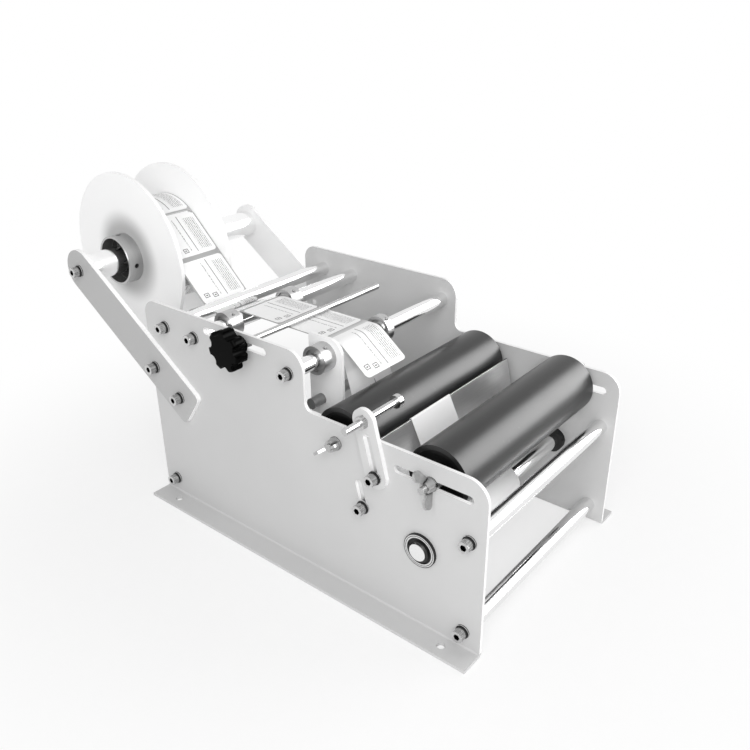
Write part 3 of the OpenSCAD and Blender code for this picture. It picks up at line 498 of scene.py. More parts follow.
@dataclass(frozen=True)
class Turned(Finish):
    """Lathe-turned metal whose lines run round an axis along X."""

    centre: Point
    level: float = 0.55
    rough: float = 0.3
    dark_inside: float = 0.0

    def build(self, shader: Shader) -> None:
        """Fill the material's tree.

        Args:
            shader: the tree.
        """
        out = shader.radius(self.centre)
        along, _, _ = shader.split(shader.place())
        lines = shader.node("CombineXYZ", None, {0: along, 1: out, 2: 0.0})
        cuts = shader.noise(3200.0, 3.0, 0.6, lines)
        smear = shader.noise(60.0)
        colour = shader.tones(cuts, self.level, 0.82, 1.12)
        if self.dark_inside > 0.0:
            colour = shader.blend(out < self.dark_inside, colour, grey(0.03))
        shader.surface(colour, self.rough + 0.15 * smear, shader.bump(cuts, 0.00003, 0.5), Metallic=1.0)


@dataclass(frozen=True)
class Bearing(Finish):
    """A plated flange round a black seal and a bright inner ring."""

    centre: Point
    shaft: float
    barrel: float
    flange: float

    def build(self, shader: Shader) -> None:
        """Fill the material's tree.

        Args:
            shader: the tree.
        """
        out = shader.radius(self.centre)
        seal = out.between(self.shaft, self.barrel + 0.0001)
        groove = out.between(self.barrel + 0.0013, self.barrel + 0.0018)
        rim = out > self.flange - 0.0006
        fine = shader.noise(900.0)
        plain = shader.blend(fine, grey(0.55), grey(0.85))
        dark = shader.greatest(seal, groove, rim)
        shader.surface(
            shader.blend(dark, plain, grey(0.004)),
            0.28 + 0.35 * dark,
            shader.bump(fine, 0.00003, 0.4),
            Metallic=1.0 - dark,
        )


@dataclass(frozen=True)
class MilkyPlastic(Finish):
    """A pale plastic disc with painted shade round its middle, for the core and hub behind it, and a
    little painted light of its own.
    """

    centre: Point
    core: float

    def build(self, shader: Shader) -> None:
        """Fill the material's tree.

        Args:
            shader: the tree.
        """
        out = shader.radius(self.centre)
        # Painted shade: the disc is drawn dark round its middle, for the core and hub that would show
        # through it.
        core_shade_fade = out.ramp(self.core * 0.72, self.core * 1.3)
        cloud = shader.noise(18.0)
        core_shaded = shader.blend(core_shade_fade, grey(0.34), grey(0.96))
        pale = shader.blend(cloud * 0.2, core_shaded, grey(0.9))
        shader.surface(
            pale,
            0.34 + 0.08 * cloud,
            shader.bump(shader.noise(700.0, 1.0), 0.00001, 0.3),
            Alpha=0.9,
            # Painted light: the disc gives off a little white light of its own, though it is no lamp.
            Emission_Color=grey(1.0),
            Emission_Strength=0.09,
        )


@dataclass(frozen=True)
class Rubber(Finish):
    """Ground rubber sleeve, a little dusty."""

    level: float = 0.008
    rough: float = 0.3

    def build(self, shader: Shader) -> None:
        """Fill the material's tree.

        Args:
            shader: the tree.
        """
        cloud = shader.noise(22.0, 4.0, 0.6)
        grain = shader.noise(1500.0, 2.0, 0.7)
        rings = shader.noise(420.0, at=shader.scaled(1.0, 0.05, 0.05))
        dust = shader.noise(130.0).ramp(0.66, 0.78)
        base = shader.tones(cloud, self.level, 0.7, 1.6)
        shader.surface(
            shader.blend(dust * 0.2, base, grey(0.06)),
            self.rough + 0.1 * cloud,
            shader.bump(grain * 0.7 + rings * 0.3, 0.00004, 0.4),
            Specular_IOR_Level=0.5,
        )


@dataclass(frozen=True)
class GlossPlastic(Finish):
    """Moulded glossy black plastic."""

    level: float = 0.0012

    def build(self, shader: Shader) -> None:
        """Fill the material's tree.

        Args:
            shader: the tree.
        """
        flow = shader.noise(60.0, 3.0)
        fine = shader.noise(900.0)
        shader.surface(
            shader.tones(flow, self.level, 0.7, 1.7),
            0.18 + 0.1 * flow,
            shader.bump(fine, 0.00002, 0.3),
            IOR=1.1,
        )


@dataclass(frozen=True)
class BrushedSheet(Finish):
    """Stainless sheet brushed along X, with painted shade on the faces that face upward."""

    level: float = 0.62

    def build(self, shader: Shader) -> None:
        """Fill the material's tree.

        Args:
            shader: the tree.
        """
        brush = shader.noise(1800.0, 3.0, 0.65, at=shader.scaled(0.03, 1.0, 1.0))
        cloud = shader.noise(16.0)
        _, _, up = shader.split(shader.facing())
        brushed = shader.tones(brush, self.level, 0.82, 1.12)
        shader.surface(
            # Painted shade: faces that face upward are drawn dark, to hide the reflection on the plate's
            # top edge.
            shader.blend(up.ramp(0.5, 0.6), brushed, grey(self.level * 0.12)),
            0.3 + 0.12 * cloud,
            shader.bump(brush, 0.00003, 0.5),
            Metallic=1.0,
        )


@dataclass(frozen=True)
class Card(Finish):
    """Wound grey card."""

    def build(self, shader: Shader) -> None:
        """Fill the material's tree.

        Args:
            shader: the tree.
        """
        fibre = shader.noise(700.0, 4.0, 0.7, at=shader.scaled(1.0, 0.3, 1.0))
        colour = shader.blend(fibre, (0.34, 0.33, 0.31, 1.0), (0.55, 0.54, 0.52, 1.0))
        shader.surface(colour, 0.85, shader.bump(fibre, 0.0001, 0.5))


@dataclass(frozen=True)
class Paper(Finish):
    """Smooth backing paper with a faint tooth."""

    level: float = 0.86
    rough: float = 0.5

    def build(self, shader: Shader) -> None:
        """Fill the material's tree.

        Args:
            shader: the tree.
        """
        tooth = shader.noise(1600.0, 3.0, 0.6)
        cloud = shader.noise(40.0)
        colour = shader.blend(cloud, grey(self.level * 0.96), grey(min(0.98, self.level * 1.04)))
        shader.surface(colour, self.rough + 0.1 * tooth, shader.bump(tooth, 0.00001, 0.5))


@dataclass(frozen=True)
class BackingPaper(Finish):
    """Backing paper: grey and glazed under its labels, white where they have come off."""

    grey_level: float = 0.4
    white_level: float = 0.96
    bare_from: float = 0.72

    def build(self, shader: Shader) -> None:
        """Fill the material's tree.

        Args:
            shader: the tree.
        """
        _, along, _ = shader.split(shader.node("TexCoord", out="UV"))
        bare = along.ramp(self.bare_from - 0.01, self.bare_from + 0.02)
        tooth = shader.noise(1600.0, 3.0, 0.6)
        cloud = shader.noise(60.0, 3.0)
        glazed = shader.tones(cloud, self.grey_level, 0.9, 1.1)
        shader.surface(
            shader.blend(bare, glazed, grey(self.white_level)),
            0.32 + 0.12 * tooth,
            shader.bump(tooth, 0.00001, 0.5),
        )


@dataclass(frozen=True)
class PaperEdge(Finish):
    """The side of wound paper: fine rings round an axis along X."""

    centre: Point
    level: float = 0.8

    def build(self, shader: Shader) -> None:
        """Fill the material's tree.

        Args:
            shader: the tree.
        """
        out = shader.radius(self.centre)
        layers = shader.node("CombineXYZ", None, {0: out, 1: 0.0, 2: 0.0})
        turns = shader.noise(2600.0, 3.0, 0.8, layers)
        bands = shader.noise(260.0, at=layers)
        soft = turns * 0.6 + bands * 0.4
        shader.surface(
            shader.tones(soft, self.level, 0.62, 1.0),
            0.7,
            shader.bump(turns, 0.0001, 0.6),
        )


@dataclass(frozen=True)
class PrintedLabel(Finish):
    """A white label with plain generic marks: rules, dashes, a block of rows and two tokens."""

    paper: float = 0.97
    ink: float = 0.05
    tokens: tuple[tuple[float, float], ...] = ((0.15, 0.82), (0.33, 0.86))

    def build(self, shader: Shader) -> None:
        """Fill the material's tree.

        Args:
            shader: the tree.
        """
        across, along, _ = shader.split(shader.node("TexCoord", out="UV"))
        chips = shader.node("CombineXYZ", None, {0: across, 1: along, 2: 0.0})
        broken = shader.noise(1.0, 1.0, at=shader.scaled(30.0, 140.0, 1.0, at=chips))
        rule = across.between(0.575, 0.59) * along.between(0.04, 0.93) * 0.95
        dashes = across.between(0.44, 0.462) * along.between(0.1, 0.88) * (broken > 0.5) * 0.95
        rows = ((across * 24.0).fraction() < 0.45) * across.between(0.68, 0.93)
        block = rows * along.between(0.12, 0.9) * (broken > 0.46) * 0.8
        marks = [rule, dashes, block]
        for u, v in self.tokens:
            side, end = abs(across - u), abs(along - v)
            ring = (side < 0.055) * (end < 0.05) * (1.0 - (side < 0.04) * (end < 0.036))
            core = (side < 0.022) * (end < 0.012)
            marks.append(shader.greatest(ring, core) * 0.95)
        tooth = shader.noise(1600.0, 3.0, 0.6)
        shader.surface(
            shader.blend(shader.greatest(*marks), grey(self.paper), grey(self.ink)),
            0.36 + 0.08 * tooth,
            shader.bump(tooth, 0.00001, 0.4),
        )


@dataclass(frozen=True)
class StudioFloor(Finish):
    """A pale floor that shows as white and keeps the object's shadow."""

    share: float = 0.62

    def build(self, shader: Shader) -> None:
        """Fill the material's tree.

        Args:
            shader: the tree.
        """
        seen = shader.seen()
        east, north, _ = shader.split(shader.place())
        away = ((east * east + north * north) ** 0.5).ramp(0.2, 0.6)
        share = self.share + (1.0 - self.share) * away
        tooth = shader.noise(60.0)
        pale = {"Base Color": shader.blend(tooth, grey(0.9), grey(0.93)), "Roughness": 0.8}
        lit = shader.node("BsdfPrincipled", None, pale)
        white = shader.node("Emission", None, {"Color": grey(1.0), "Strength": 1.0})
        mixed = shader.node("MixShader", None, {0: seen * share, 1: lit, 2: white})
        shader.node("OutputMaterial", None, {"Surface": mixed})


class Frame:
    """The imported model, with what the sub-assemblies ask of it."""

    def __init__(self) -> None:
        """Load the model and keep its box."""
        self.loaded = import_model()
        self.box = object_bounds()

    def centre(self, node: str) -> Point:
        """Return the middle of a node's box."""
        low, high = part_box(node)
        return tuple((a + b) / 2 for a, b in zip(low, high))

    def radius(self, node: str) -> float:
        """Return half of a node's height."""
        low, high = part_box(node)
        return (high[2] - low[2]) / 2

    def dress(self, node: str, finish: Finish, edge: Edge = Edge.SHARP) -> None:
        """Give a CAD node its finish.

        Args:
            node: the node's name.
            finish: its finish.
            edge: how far its edges are broken.
        """
        piece = self.loaded["nodes"][node]
        for holder in piece.material_slots:
            holder.link = "OBJECT"
            holder.material = finish.material()
        if edge is not Edge.SHARP:
            bevel = piece.modifiers.new("broken_edge", "BEVEL")
            bevel.width = edge.value
            bevel.segments = 2
            bevel.limit_method = "ANGLE"
            bevel.angle_limit = math.radians(50)
            bevel.use_clamp_overlap = True
        LOG.info("dressed %s in %s", node, finish.name)

    def add(
        self,
        name: str,
        mesh: bpy.types.Mesh,
        finish: Finish,
        body: str,
        slot: str,
        replaces: Sequence[str] = (),
    ) -> bpy.types.Object:
        """Add a piece that rides on a body.

        Args:
            name: the piece's name.
            mesh: its mesh, in the row frame.
            finish: its finish.
            body: the body that carries it.
            slot: the record's material slot; not used.
            replaces: the CAD nodes that it stands for.

        Returns:
            The piece.
        """
        mesh.materials.append(finish.material())
        piece = hang(name, mesh)
        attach(piece, body)
        if replaces:
            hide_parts(*replaces)
        LOG.info("added %s on %s", name, body)
        return piece

    def wound(
        self,
        name: str,
        node: str,
        core: str,
        near_in: Sequence[float],
        far_in: Sequence[float],
        count: int,
        play: float = 0.0001,
    ) -> bpy.types.Mesh:
        """Wind paper on a core along X, with uneven sides.

        Args:
            name: the mesh's name.
            node: the CAD node whose ends and outer radius it takes.
            core: the CAD node that it is wound on.
            near_in: how far its near side stays inside the node, from the core outward.
            far_in: the same for its far side.
            count: the number of steps round the axis.
            play: the gap to the core.

        Returns:
            The mesh.
        """
        low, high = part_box(node)
        _, y, z = self.centre(node)
        inner, outer = self.radius(core) + play, self.radius(node)
        radii = [inner + (outer - inner) * k / (len(near_in) - 1) for k in range(len(near_in))]
        near = [(low[0] + inset, radius) for inset, radius in zip(near_in, radii)]
        far = [(high[0] - inset, radius) for inset, radius in zip(far_in, radii)]
        section = near + far[::-1]
        made = bmesh.new()
        rings = []
        for k in range(count):
            angle = 2 * math.pi * k / count
            rise, run = math.sin(angle), math.cos(angle)
            rings.append([made.verts.new((x, y + r * run, z + r * rise)) for x, r in section])
        for k, ring in enumerate(rings):
            beside = rings[(k + 1) % count]
            for i in range(len(section)):
                j = (i + 1) % len(section)
                face = made.faces.new((ring[i], ring[j], beside[j], beside[i]))
                face.smooth = True
        bmesh.ops.recalc_face_normals(made, faces=made.faces)
        return baked(made, name)


@dataclass(frozen=True)
class Bend:
    """A round thing that the web runs over, seen from the side."""

    y: float
    z: float
    radius: float
    side: Side

    def heading(self, following: Bend) -> float:
        """Find the web's direction on its way to the following bend.

        Args:
            following: the bend that the web meets next.

        Returns:
            The direction, as an angle from Y towards Z.
        """
        gap = math.hypot(following.y - self.y, following.z - self.z)
        lean = (following.side.value * following.radius - self.side.value * self.radius) / gap
        turn = math.atan2(following.z - self.z, following.y - self.y) - math.asin(lean)
        return turn + 2 * math.pi if turn < 0 else turn

    def touch(self, heading: float) -> tuple[float, float]:
        """Return the point of the bend where the web has a direction."""
        offset = self.side.value * self.radius
        return (self.y + offset * math.sin(heading), self.z - offset * math.cos(heading))


@dataclass
class Path:
    """A line seen from the side, walked by its length."""

    rows: list[Row] = field(default_factory=list)

    def add(self, y: float, z: float, heading: float) -> None:
        """Add a point.

        Args:
            y: its place along Y.
            z: its height.
            heading: the direction there.
        """
        length = 0.0
        if self.rows:
            last = self.rows[-1]
            length = last[0] + math.hypot(y - last[1], z - last[2])
        self.rows.append((length, y, z, heading))

    @property
    def length(self) -> float:
        """Return the whole length."""
        return self.rows[-1][0]

    def at(self, length: float) -> Point:
        """Find the place and direction at a length.

        Args:
            length: the way from the path's start.

        Returns:
            The place along Y, the height and the direction.
        """
        previous = self.rows[0]
        for row in self.rows[1:]:
            if row[0] >= length:
                share = (length - previous[0]) / max(row[0] - previous[0], 1e-9)
                return tuple(a + (b - a) * share for a, b in zip(previous[1:], row[1:]))
            previous = row
        return self.rows[-1][1:]

    def nearest(self, y: float, z: float) -> float:
        """Return the length at the point nearest to a place."""
        return min(self.rows, key=lambda row: math.hypot(row[1] - y, row[2] - z))[0]

    @classmethod
    def of_bends(cls, bends: Sequence[Bend], step: float = math.radians(3), stride: float = 0.003) -> Path:
        """Return the path that runs tangent to tangent round the bends.

        Args:
            bends: the bends in the order in which the web meets them.
            step: the largest turn between two points.
            stride: the largest way between two points.

        Returns:
            The path.
        """
        path = cls()
        runs = [first.heading(second) for first, second in zip(bends, bends[1:])]
        for index, heading in enumerate(runs):
            if index:
                turn = heading - runs[index - 1]
                count = max(2, math.ceil(abs(turn) / step))
                for k in range(1, count):
                    angle = runs[index - 1] + turn * k / count
                    path.add(*bends[index].touch(angle), angle)
            start = Vector(bends[index].touch(heading))
            end = Vector(bends[index + 1].touch(heading))
            count = max(1, math.ceil((end - start).length / stride))
            for k in range(count + 1):
                point = start.lerp(end, k / count)
                path.add(point.x, point.y, heading)
        return path


@dataclass(frozen=True)
class Strip:
    """A strip of paper laid along a path."""

    path: Path
    start: float
    end: float
    near: float
    far: float
    lift: float = 0.0
    corner: float = 0.0
    rounded: tuple[bool, bool] = (True, True)
    share: tuple[float, float] = (0.0, 1.0)

    def stops(self) -> list[float]:
        """Choose the lengths at which the strip has rows.

        Returns:
            The lengths in order, close together at round corners.
        """
        inner = [row[0] for row in self.path.rows if self.start < row[0] < self.end]
        stops = {self.start, self.end, *inner}
        if self.corner:
            count = 8
            for k in range(1, count + 1):
                step = self.corner * (1 - math.cos(k / count * math.pi / 2))
                stops.update((self.start + step, self.end - step))
        return sorted(stops)

    def inset(self, length: float) -> float:
        """Find how far the strip's sides draw in for its round corners.

        Args:
            length: the way from the path's start.

        Returns:
            The way in from either side.
        """
        rest = [
            distance
            for distance, round_end in zip((length - self.start, self.end - length), self.rounded)
            if round_end
        ]
        away = min(rest) if rest else self.corner
        if away >= self.corner:
            return 0.0
        return self.corner - math.sqrt(max(0.0, self.corner**2 - (self.corner - away) ** 2))

    def mesh(self, name: str) -> bpy.types.Mesh:
        """Return the strip's mesh.

        Args:
            name: the mesh's name.

        Returns:
            The mesh, with its place across and along in its first UV map.
        """
        made = bmesh.new()
        uv = made.loops.layers.uv.new("place")
        rows: list[tuple[list[bmesh.types.BMVert], list[tuple[float, float]]]] = []
        for length in self.stops():
            y, z, heading = self.path.at(length)
            out = Vector((0.0, math.sin(heading), -math.cos(heading)))
            draw = self.inset(length)
            along = (length - self.start) / (self.end - self.start)
            along = self.share[0] + (self.share[1] - self.share[0]) * along
            verts, places = [], []
            for x in (self.near + draw, self.far - draw):
                verts.append(made.verts.new(Vector((x, y, z)) + out * self.lift))
                places.append(((x - self.near) / (self.far - self.near), along))
            rows.append((verts, places))
        for (low, low_uv), (high, high_uv) in zip(rows, rows[1:]):
            face = made.faces.new((low[0], low[1], high[1], high[0]))
            face.smooth = True
            for loop, place in zip(face.loops, (low_uv[0], low_uv[1], high_uv[1], high_uv[0])):
                loop[uv].uv = place
        return baked(made, name)


# Zinc plate with painted shade in its sockets and dark ribs of painted shade on the sides of heads.
ZINC = Hardware("zinc_plate", level=0.6, rough=0.2, knurl_shade=0.45)
BLACK = Hardware("blackened_steel", level=0.03, rough=0.35, metallic=0.6)


@dataclass
class SubAssembly(ABC):
    """A group of CAD nodes that are dressed from a table."""

    frame: Frame

    @abstractmethod
    def table(self) -> Iterable[tuple[str, Finish, Edge]]:
        """List the nodes to dress.

        Returns:
            Each node's name, finish and broken edge.
        """

    def dress(self) -> None:
        """Dress the nodes of the table."""
        for node, finish, edge in self.table():
            self.frame.dress(node, finish, edge)


@dataclass
class Stand(SubAssembly):
    """Side plates, rods, arms and their screws."""

    rods: tuple[str, ...] = (
        "rear_guide_rod",
        "middle_guide_rod",
        "front_guide_rod",
        "upper_tie_rod",
        "lower_front_tie_rod",
        "lower_rear_tie_rod",
    )

    def table(self) -> Iterable[tuple[str, Finish, Edge]]:
        """List the nodes to dress.

        Returns:
            Each node's name, finish and broken edge.
        """
        paint = SheetPaint("plate_paint")
        yield "near_side_plate", paint, Edge.SHEET
        yield "far_side_plate", paint, Edge.SHEET
        yield "near_reel_arm", SheetPaint("arm_paint", colour=0.48, edge=1.0, specks=0.3), Edge.SOFT
        # The far arm is the same part as the near one but is drawn almost white: a painted highlight where
        # light washes it out.
        yield "far_reel_arm", SheetPaint("far_arm_painted_highlight", colour=0.95, edge=1.0, specks=0.0), Edge.SOFT
        for rod in self.rods:
            yield rod, Polished("rod_chrome"), Edge.SHARP
        yield "frame_screws", ZINC, Edge.FINE
        yield "frame_spring_washers", BLACK, Edge.SHARP
        # The flat washers also take painted shade from the plate: a dark line where they meet it.
        bright = Hardware("washer_zinc", level=0.75, rough=0.22, shade_reach=0.0012, alone=False)
        yield "frame_flat_washers", bright, Edge.FINE


@dataclass
class Reel(SubAssembly):
    """The reel between its discs, with the wound labels."""

    draw_in: float = 0.0003

    def table(self) -> Iterable[tuple[str, Finish, Edge]]:
        """List the nodes to dress.

        Returns:
            Each node's name, finish and broken edge.
        """
        centre = self.frame.centre("reel_shaft")
        milky = MilkyPlastic("milky_disc", centre=centre, core=self.frame.radius("roll_core"))
        hub = Turned("hub_turning", centre=centre, level=0.5, dark_inside=0.0232)
        screw = Hardware("set_screw_black", level=0.04, rough=0.25, metallic=0.7)
        yield "reel_shaft", Polished("shaft_tube", level=0.95, rough=0.14), Edge.SHARP
        yield "roll_core", Card("core_card"), Edge.SHARP
        for place in ("near", "far"):
            yield f"{place}_reel_hub", hub, Edge.FINE
            yield f"{place}_hub_set_screws", screw, Edge.SHARP
            yield f"{place}_reel_disc", milky, Edge.SOFT

    def build(self) -> None:
        """Build the wound roll under its outer labels."""
        sides = [
            self.draw_in + 0.00012 * math.sin(k * 2.4) + 0.00008 * math.sin(k * 5.1) for k in range(25)
        ]
        name = "label_roll_paper"
        mesh = self.frame.wound(name, "label_roll", "roll_core", sides, sides, count=160)
        finish = PaperEdge("roll_layers", centre=self.frame.centre("label_roll"))
        self.frame.add(name, mesh, finish, "reel", "roll_paper", ("label_roll",))


@dataclass
class LabelWeb:
    """The running web: backing paper, its labels, the lifted first label and the wound waste."""

    frame: Frame
    gap: float = 0.0005
    paper: float = 0.0002
    margin: float = 0.0015
    label_corner: float = 0.004
    label_space: float = 0.0052
    labels_between: int = 4
    web_places: range = range(-1, 9)
    roll_places: range = range(6)
    lifted_half: float = 0.00015
    lifted_slope: float = math.radians(38)
    lifted_bend: float = 0.014
    peel_edge: tuple[float, float] = (-0.08, 0.14925)
    peel_radius: float = 0.00075
    finish: Finish = PrintedLabel("printed_label")
    first_gap: tuple[float, float] = (0.0136, 0.1971)
    reel_gap: tuple[float, float] = (0.2113, 0.2275)

    def route(self) -> list[Bend]:
        """List what the web runs over.

        Returns:
            The bends, from the roll to the waste spool.
        """
        order = (
            ("label_roll", Side.LEFT),
            ("rear_guide_rod", Side.RIGHT),
            ("middle_guide_rod", Side.LEFT),
            ("front_guide_rod", Side.LEFT),
            ("rear_roller_sleeve", Side.RIGHT),
            (None, Side.LEFT),
            ("wound_liner", Side.RIGHT),
        )
        bends = []
        for node, side in order:
            if node is None:
                bends.append(Bend(*self.peel_edge, self.peel_radius + self.gap, side))
            else:
                _, y, z = self.frame.centre(node)
                bends.append(Bend(y, z, self.frame.radius(node) + self.gap, side))
        return bends

    def build(self) -> None:
        """Build the web and its labels."""
        low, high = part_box("label_web")
        near, far = low[0], high[0]
        path = Path.of_bends(self.route())
        backing = self.frame.add(
            "backing_web",
            Strip(path, 0.0, path.length, near, far).mesh("backing_web"),
            BackingPaper("backing_paper", bare_from=path.nearest(*self.first_gap) / path.length),
            "frame",
            "web_paper",
            ("label_web",),
        )
        labels = self._labels(path)
        LOG.info("the web is %.0f mm long and %.1f mm wide", path.length * 1000, (far - near) * 1000)
        self._lifted()
        self._waste()

    def _label(
        self, name: str, path: Path, start: float, length: float, lift: float, body: str, slot: str
    ) -> bpy.types.Object:
        """Build one label, cut off where its path starts or ends.

        Args:
            name: the piece's name.
            path: the path that it lies on.
            start: where it starts, which may be before the path.
            length: its whole length.
            lift: how far it lies above the path.
            body: the body that carries it.
            slot: the record's material slot.

        Returns:
            The piece.
        """
        low, high = max(start, 0.0), min(start + length, path.length)
        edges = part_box("label_web")
        strip = Strip(
            path,
            low,
            high,
            edges[0][0] + self.margin,
            edges[1][0] - self.margin,
            lift,
            self.label_corner,
            (start >= 0.0, start + length <= path.length),
            ((low - start) / length, (high - start) / length),
        )
        return self.frame.add(name, strip.mesh(name), self.finish, body, slot)

    def _labels(self, path: Path) -> list[bpy.types.Object]:
        """Build the labels on the web and on the roll.

        Args:
            path: the web's path.

        Returns:
            The labels that lie on the web.
        """
        first = path.nearest(*self.first_gap)
        last = path.nearest(*self.reel_gap)
        pitch = (first - last) / self.labels_between
        length = pitch - self.label_space
        peel = path.nearest(*self.peel_edge)
        LOG.info("labels %.1f mm long every %.1f mm", length * 1000, pitch * 1000)
        pieces = []
        for index in self.web_places:
            start = last + index * pitch + self.label_space / 2
            if start + length > peel or abs(start - first) < pitch / 2:
                continue
            name = f"web_label_{len(pieces) + 1}"
            pieces.append(self._label(name, path, start, length, self.paper, "frame", "web_paper"))
        self._roll_labels(last - pitch + self.label_space / 2, length, pitch)
        return pieces

    def _roll_labels(self, start: float, length: float, pitch: float) -> None:
        """Build the labels on the outside of the roll.

        Args:
            start: where the label that leaves the roll starts, before the web's own start.
            length: a label's length.
            pitch: the way from one label to the next.
        """
        roll, following = self.route()[:2]
        heading = roll.heading(following)
        around = Path()
        count = 180
        for k in range(count + 1):
            angle = heading + 2 * math.pi * (k / count - 1)
            around.add(*roll.touch(angle), angle)
        low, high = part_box("label_web")
        name = "roll_outer_turn"
        skin = Strip(around, 0.0, around.length, low[0], high[0], -self.gap).mesh(name)
        self.frame.add(name, skin, Paper("roll_backing", level=0.4), "reel", "roll_paper")
        for index in self.roll_places:
            begin = around.length + start - index * pitch
            if 0.0 <= begin < around.length:
                name = f"roll_label_{index + 1}"
                self._label(name, around, begin, length, self.paper - self.gap, "reel", "roll_paper")

    def _lifted(self) -> None:
        """Build the first label, which has come off the web."""
        low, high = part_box("lifted_label")
        y = self.frame.centre("front_guide_rod")[1]
        top = high[2] - self.lifted_half
        slope, bend = self.lifted_slope, self.lifted_bend
        path = Path()
        flat_steps, bend_steps, free_steps = 4, 12, 9
        for k in range(flat_steps + 1):
            path.add(y + (high[1] - y) * (1 - k / flat_steps), top, math.pi)
        for k in range(1, bend_steps + 1):
            angle = slope * k / bend_steps
            path.add(y - bend * math.sin(angle), top - bend * (1 - math.cos(angle)), math.pi + angle)
        _, from_y, from_z, heading = path.rows[-1]
        free = (from_y - low[1]) / math.cos(slope) - self.paper
        for k in range(1, free_steps + 1):
            reach = free * k / free_steps
            path.add(from_y - reach * math.cos(slope), from_z - reach * math.sin(slope), heading)
        strip = Strip(path, 0.0, path.length, low[0], high[0], 0.0, self.label_corner)
        name = "first_label"
        label = self.frame.add(
            name, strip.mesh(name), self.finish, "frame", "web_paper", ("lifted_label",)
        )

    def _waste(self) -> None:
        """Build the waste spool: backing paper wound on the take-up shaft."""
        steps = 10
        near = [0.0012 * abs(math.sin(k * 1.7)) + 0.0009 * k / steps for k in range(steps + 1)]
        far = [0.002 * abs(math.sin(k * 2.3)) for k in range(steps + 1)]
        name = "waste_spool"
        mesh = self.frame.wound(name, "wound_liner", "drive_shaft", near, far, count=120)
        paper = Paper("waste_paper", level=1.0)
        self.frame.add(name, mesh, paper, "take_up", "liner_paper", ("wound_liner",))


@dataclass
class Guides(SubAssembly):
    """Collars, cheek and cross bar that keep the web in line."""

    def table(self) -> Iterable[tuple[str, Finish, Edge]]:
        """List the nodes to dress.

        Returns:
            Each node's name, finish and broken edge.
        """
        for node in ("near_middle_collar", "far_middle_collar", "near_front_collar", "far_front_collar"):
            centre = self.frame.centre(node)
            yield node, Turned(f"{node}_turning", centre=centre, level=0.5, rough=0.24), Edge.FINE
        yield "near_web_cheek", SheetPaint("cheek_paint", colour=0.95, edge=1.0, specks=0.0), Edge.SHEET
        yield "cheek_crossbar", Hardware("bar_steel", level=0.3, rough=0.4, metallic=0.8), Edge.SHARP


@dataclass
class Rollers(SubAssembly):
    """Both bottle rollers with their axles and wing nuts."""

    def table(self) -> Iterable[tuple[str, Finish, Edge]]:
        """List the nodes to dress.

        Returns:
            Each node's name, finish and broken edge.
        """
        # The wing nuts' painted shade reaches far, to darken the gaps between their wings.
        cast = Hardware("cast_zinc", level=0.5, rough=0.08, shade_reach=0.006)
        for place in ("rear", "front"):
            body = f"{place}_roller_body"
            end = Turned(f"{place}_roller_end", centre=self.frame.centre(body), level=0.03, rough=0.4)
            yield f"{place}_roller_sleeve", Rubber("roller_rubber"), Edge.SOFT
            yield body, end, Edge.SHARP
            yield f"{place}_roller_axle", Threaded("axle_thread", level=0.6), Edge.SHARP
            yield f"{place}_wing_nuts", cast, Edge.FINE
        # The axle washers take painted shade from the parts they touch.
        washer = Hardware("axle_washer", level=0.7, rough=0.2, shade_reach=0.0015, alone=False)
        yield "front_axle_washers", washer, Edge.FINE


@dataclass
class TakeUp(SubAssembly):
    """Peel plate, take-up shaft, bearings and crank."""

    def table(self) -> Iterable[tuple[str, Finish, Edge]]:
        """List the nodes to dress.

        Returns:
            Each node's name, finish and broken edge.
        """
        yield "peel_plate", BrushedSheet("peel_sheet", level=0.8), Edge.SHARP
        yield "peel_screws", ZINC, Edge.FINE
        yield "peel_spring_washers", BLACK, Edge.SHARP
        yield "peel_nuts", ZINC, Edge.FINE
        yield "drive_shaft", Polished("drive_chrome", level=0.88, rough=0.1), Edge.SHEET
        centre = self.frame.centre("drive_shaft")
        bearing = Bearing("bearing_ring", centre=centre, shaft=0.0075, barrel=0.0115, flange=0.0148)
        yield "shaft_bearings", bearing, Edge.FINE
        yield "shaft_retaining_rings", BLACK, Edge.FINE
        yield "crank_arm", SheetPaint("crank_paint", colour=0.03, edge=0.04, specks=0.0), Edge.SOFT
        yield "crank_screw", BLACK, Edge.SHARP
        yield "crank_pin", ZINC, Edge.FINE
        yield "crank_grip", GlossPlastic("grip_plastic"), Edge.SOFT


@dataclass
class Stops(SubAssembly):
    """Bottle stop and hold-down rod."""

    def table(self) -> Iterable[tuple[str, Finish, Edge]]:
        """List the nodes to dress.

        Returns:
            Each node's name, finish and broken edge.
        """
        yield "stop_strap", SheetPaint("strap_paint", colour=0.64, specks=0.0), Edge.SHEET
        yield "stop_clamp_screw", ZINC, Edge.FINE
        yield "stop_clamp_nut", BLACK, Edge.FINE
        yield "stop_pin", Polished("stop_pin_chrome", level=0.55, rough=0.14), Edge.SHEET
        yield "stop_pin_nuts", ZINC, Edge.FINE
        yield "hold_down_rod", Polished("hold_rod_chrome", level=0.5, rough=0.16), Edge.SHARP
        yield "hold_down_nut", ZINC, Edge.FINE
        yield "star_knob", GlossPlastic("knob_plastic"), Edge.SHEET


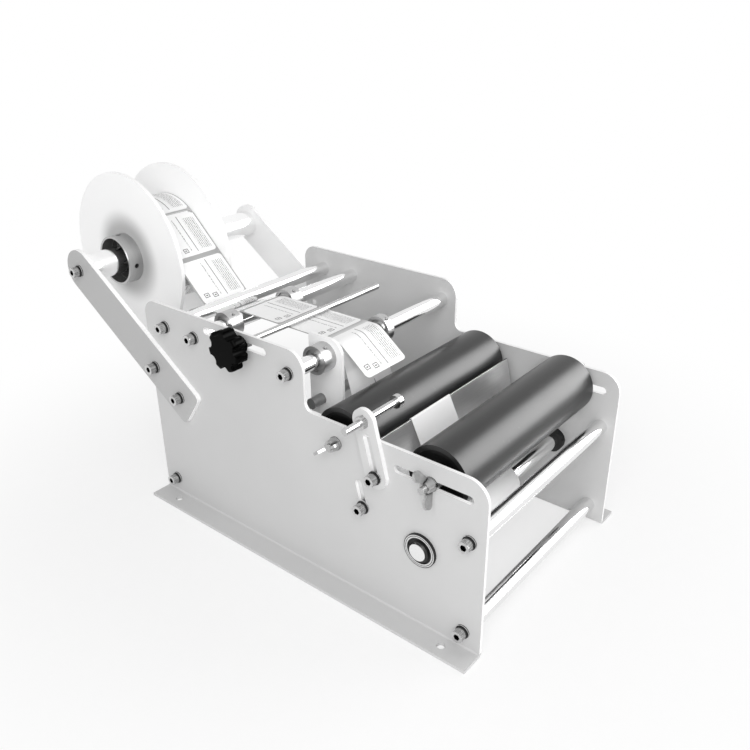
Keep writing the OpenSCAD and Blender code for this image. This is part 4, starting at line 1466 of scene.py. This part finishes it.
@dataclass
class Studio:
    """Camera, lights and floor."""

    eye: Point = (-0.520256, -0.425211, 0.47399)
    right: Point = (0.631476, -0.775354, -0.007981)
    down: Point = (-0.344621, -0.271421, -0.898647)
    ahead: Point = (0.694604, 0.570225, -0.438599)
    lens: float = 38.3535
    fill: float = 0.45
    target: Point = (0.0, 0.0, 0.1)
    box_side: float = 1.2

    def build(self) -> None:
        """Build the studio."""
        self._camera()
        self._floor()
        self._world()
        self._lamp("key_box", (1.15, -0.95, 0.72), 9.0)
        self._lamp("streak_box", (1.13, -0.93, 0.71), 22.0, glossy_only=True)
        self._lamp("side_box", (-1.1, -0.8, 1.0), 17.0)
        bpy.context.scene.view_settings.view_transform = "Standard"

    def _camera(self) -> None:
        """Make the camera at the photographed angle."""
        data = bpy.data.cameras.new("camera")
        data.sensor_width = 36.0
        data.lens = self.lens
        data.clip_start = 0.01
        data.clip_end = 50.0
        camera = hang("camera", data)
        columns = (Vector(self.right), -Vector(self.down), -Vector(self.ahead))
        turn = Matrix([[column[row] for column in columns] for row in range(3)])
        camera.matrix_world = Matrix.Translation(self.eye) @ turn.to_4x4()
        bpy.context.scene.camera = camera

    def _floor(self) -> None:
        """Lay the floor."""
        made = bmesh.new()
        bmesh.ops.create_grid(made, x_segments=8, y_segments=8, size=5.0)
        mesh = baked(made, "floor")
        mesh.materials.append(StudioFloor("studio_floor").material())
        hang("floor", mesh)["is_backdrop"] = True

    def _world(self) -> None:
        """Light the scene all round and show white behind it."""
        world = bpy.data.worlds.new("studio")
        bpy.context.scene.world = world
        shader = Shader(world)
        seen = shader.seen()
        fill = shader.node("Background", None, {"Color": grey(1.0), "Strength": self.fill})
        white = shader.node("Background", None, {"Color": grey(1.0), "Strength": 1.0})
        mixed = shader.node("MixShader", None, {0: seen, 1: fill, 2: white})
        shader.node("OutputWorld", None, {"Surface": mixed})

    def _lamp(self, name: str, place: Sequence[float], power: float, glossy_only: bool = False) -> None:
        """Hang a soft box that faces the machine.

        Args:
            name: the lamp's name.
            place: where it hangs.
            power: its power in watts.
            glossy_only: whether it only shows in reflections.
        """
        data = bpy.data.lights.new(name, "AREA")
        data.size = self.box_side
        data.energy = power
        lamp = hang(name, data)
        lamp.location = place
        lamp.visible_diffuse = not glossy_only
        toward = Vector(self.target) - Vector(place)
        lamp.rotation_mode = "QUATERNION"
        lamp.rotation_quaternion = toward.to_track_quat("-Z", "Y")


def write_sizes(cad: Iterable[Sequence[float]]) -> None:
    """Args:
        cad: the lowest and highest corner of the CAD model.
    """
    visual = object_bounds()
    sizes = {
        "cad": [[float(v) for v in corner] for corner in cad],
        "visual": [[float(v) for v in corner] for corner in visual],
    }


def main() -> None:
    """Build the studio and dress the machine."""
    logging.basicConfig(level=logging.INFO, format="%(name)s: %(message)s")
    frame = Frame()
    Studio().build()
    Stand(frame).dress()
    reel = Reel(frame)
    reel.dress()
    reel.build()
    LabelWeb(frame).build()
    for part in (Guides(frame), Rollers(frame), TakeUp(frame), Stops(frame)):
        part.dress()
    write_sizes(frame.box)


if __name__ == "__main__":
    main()
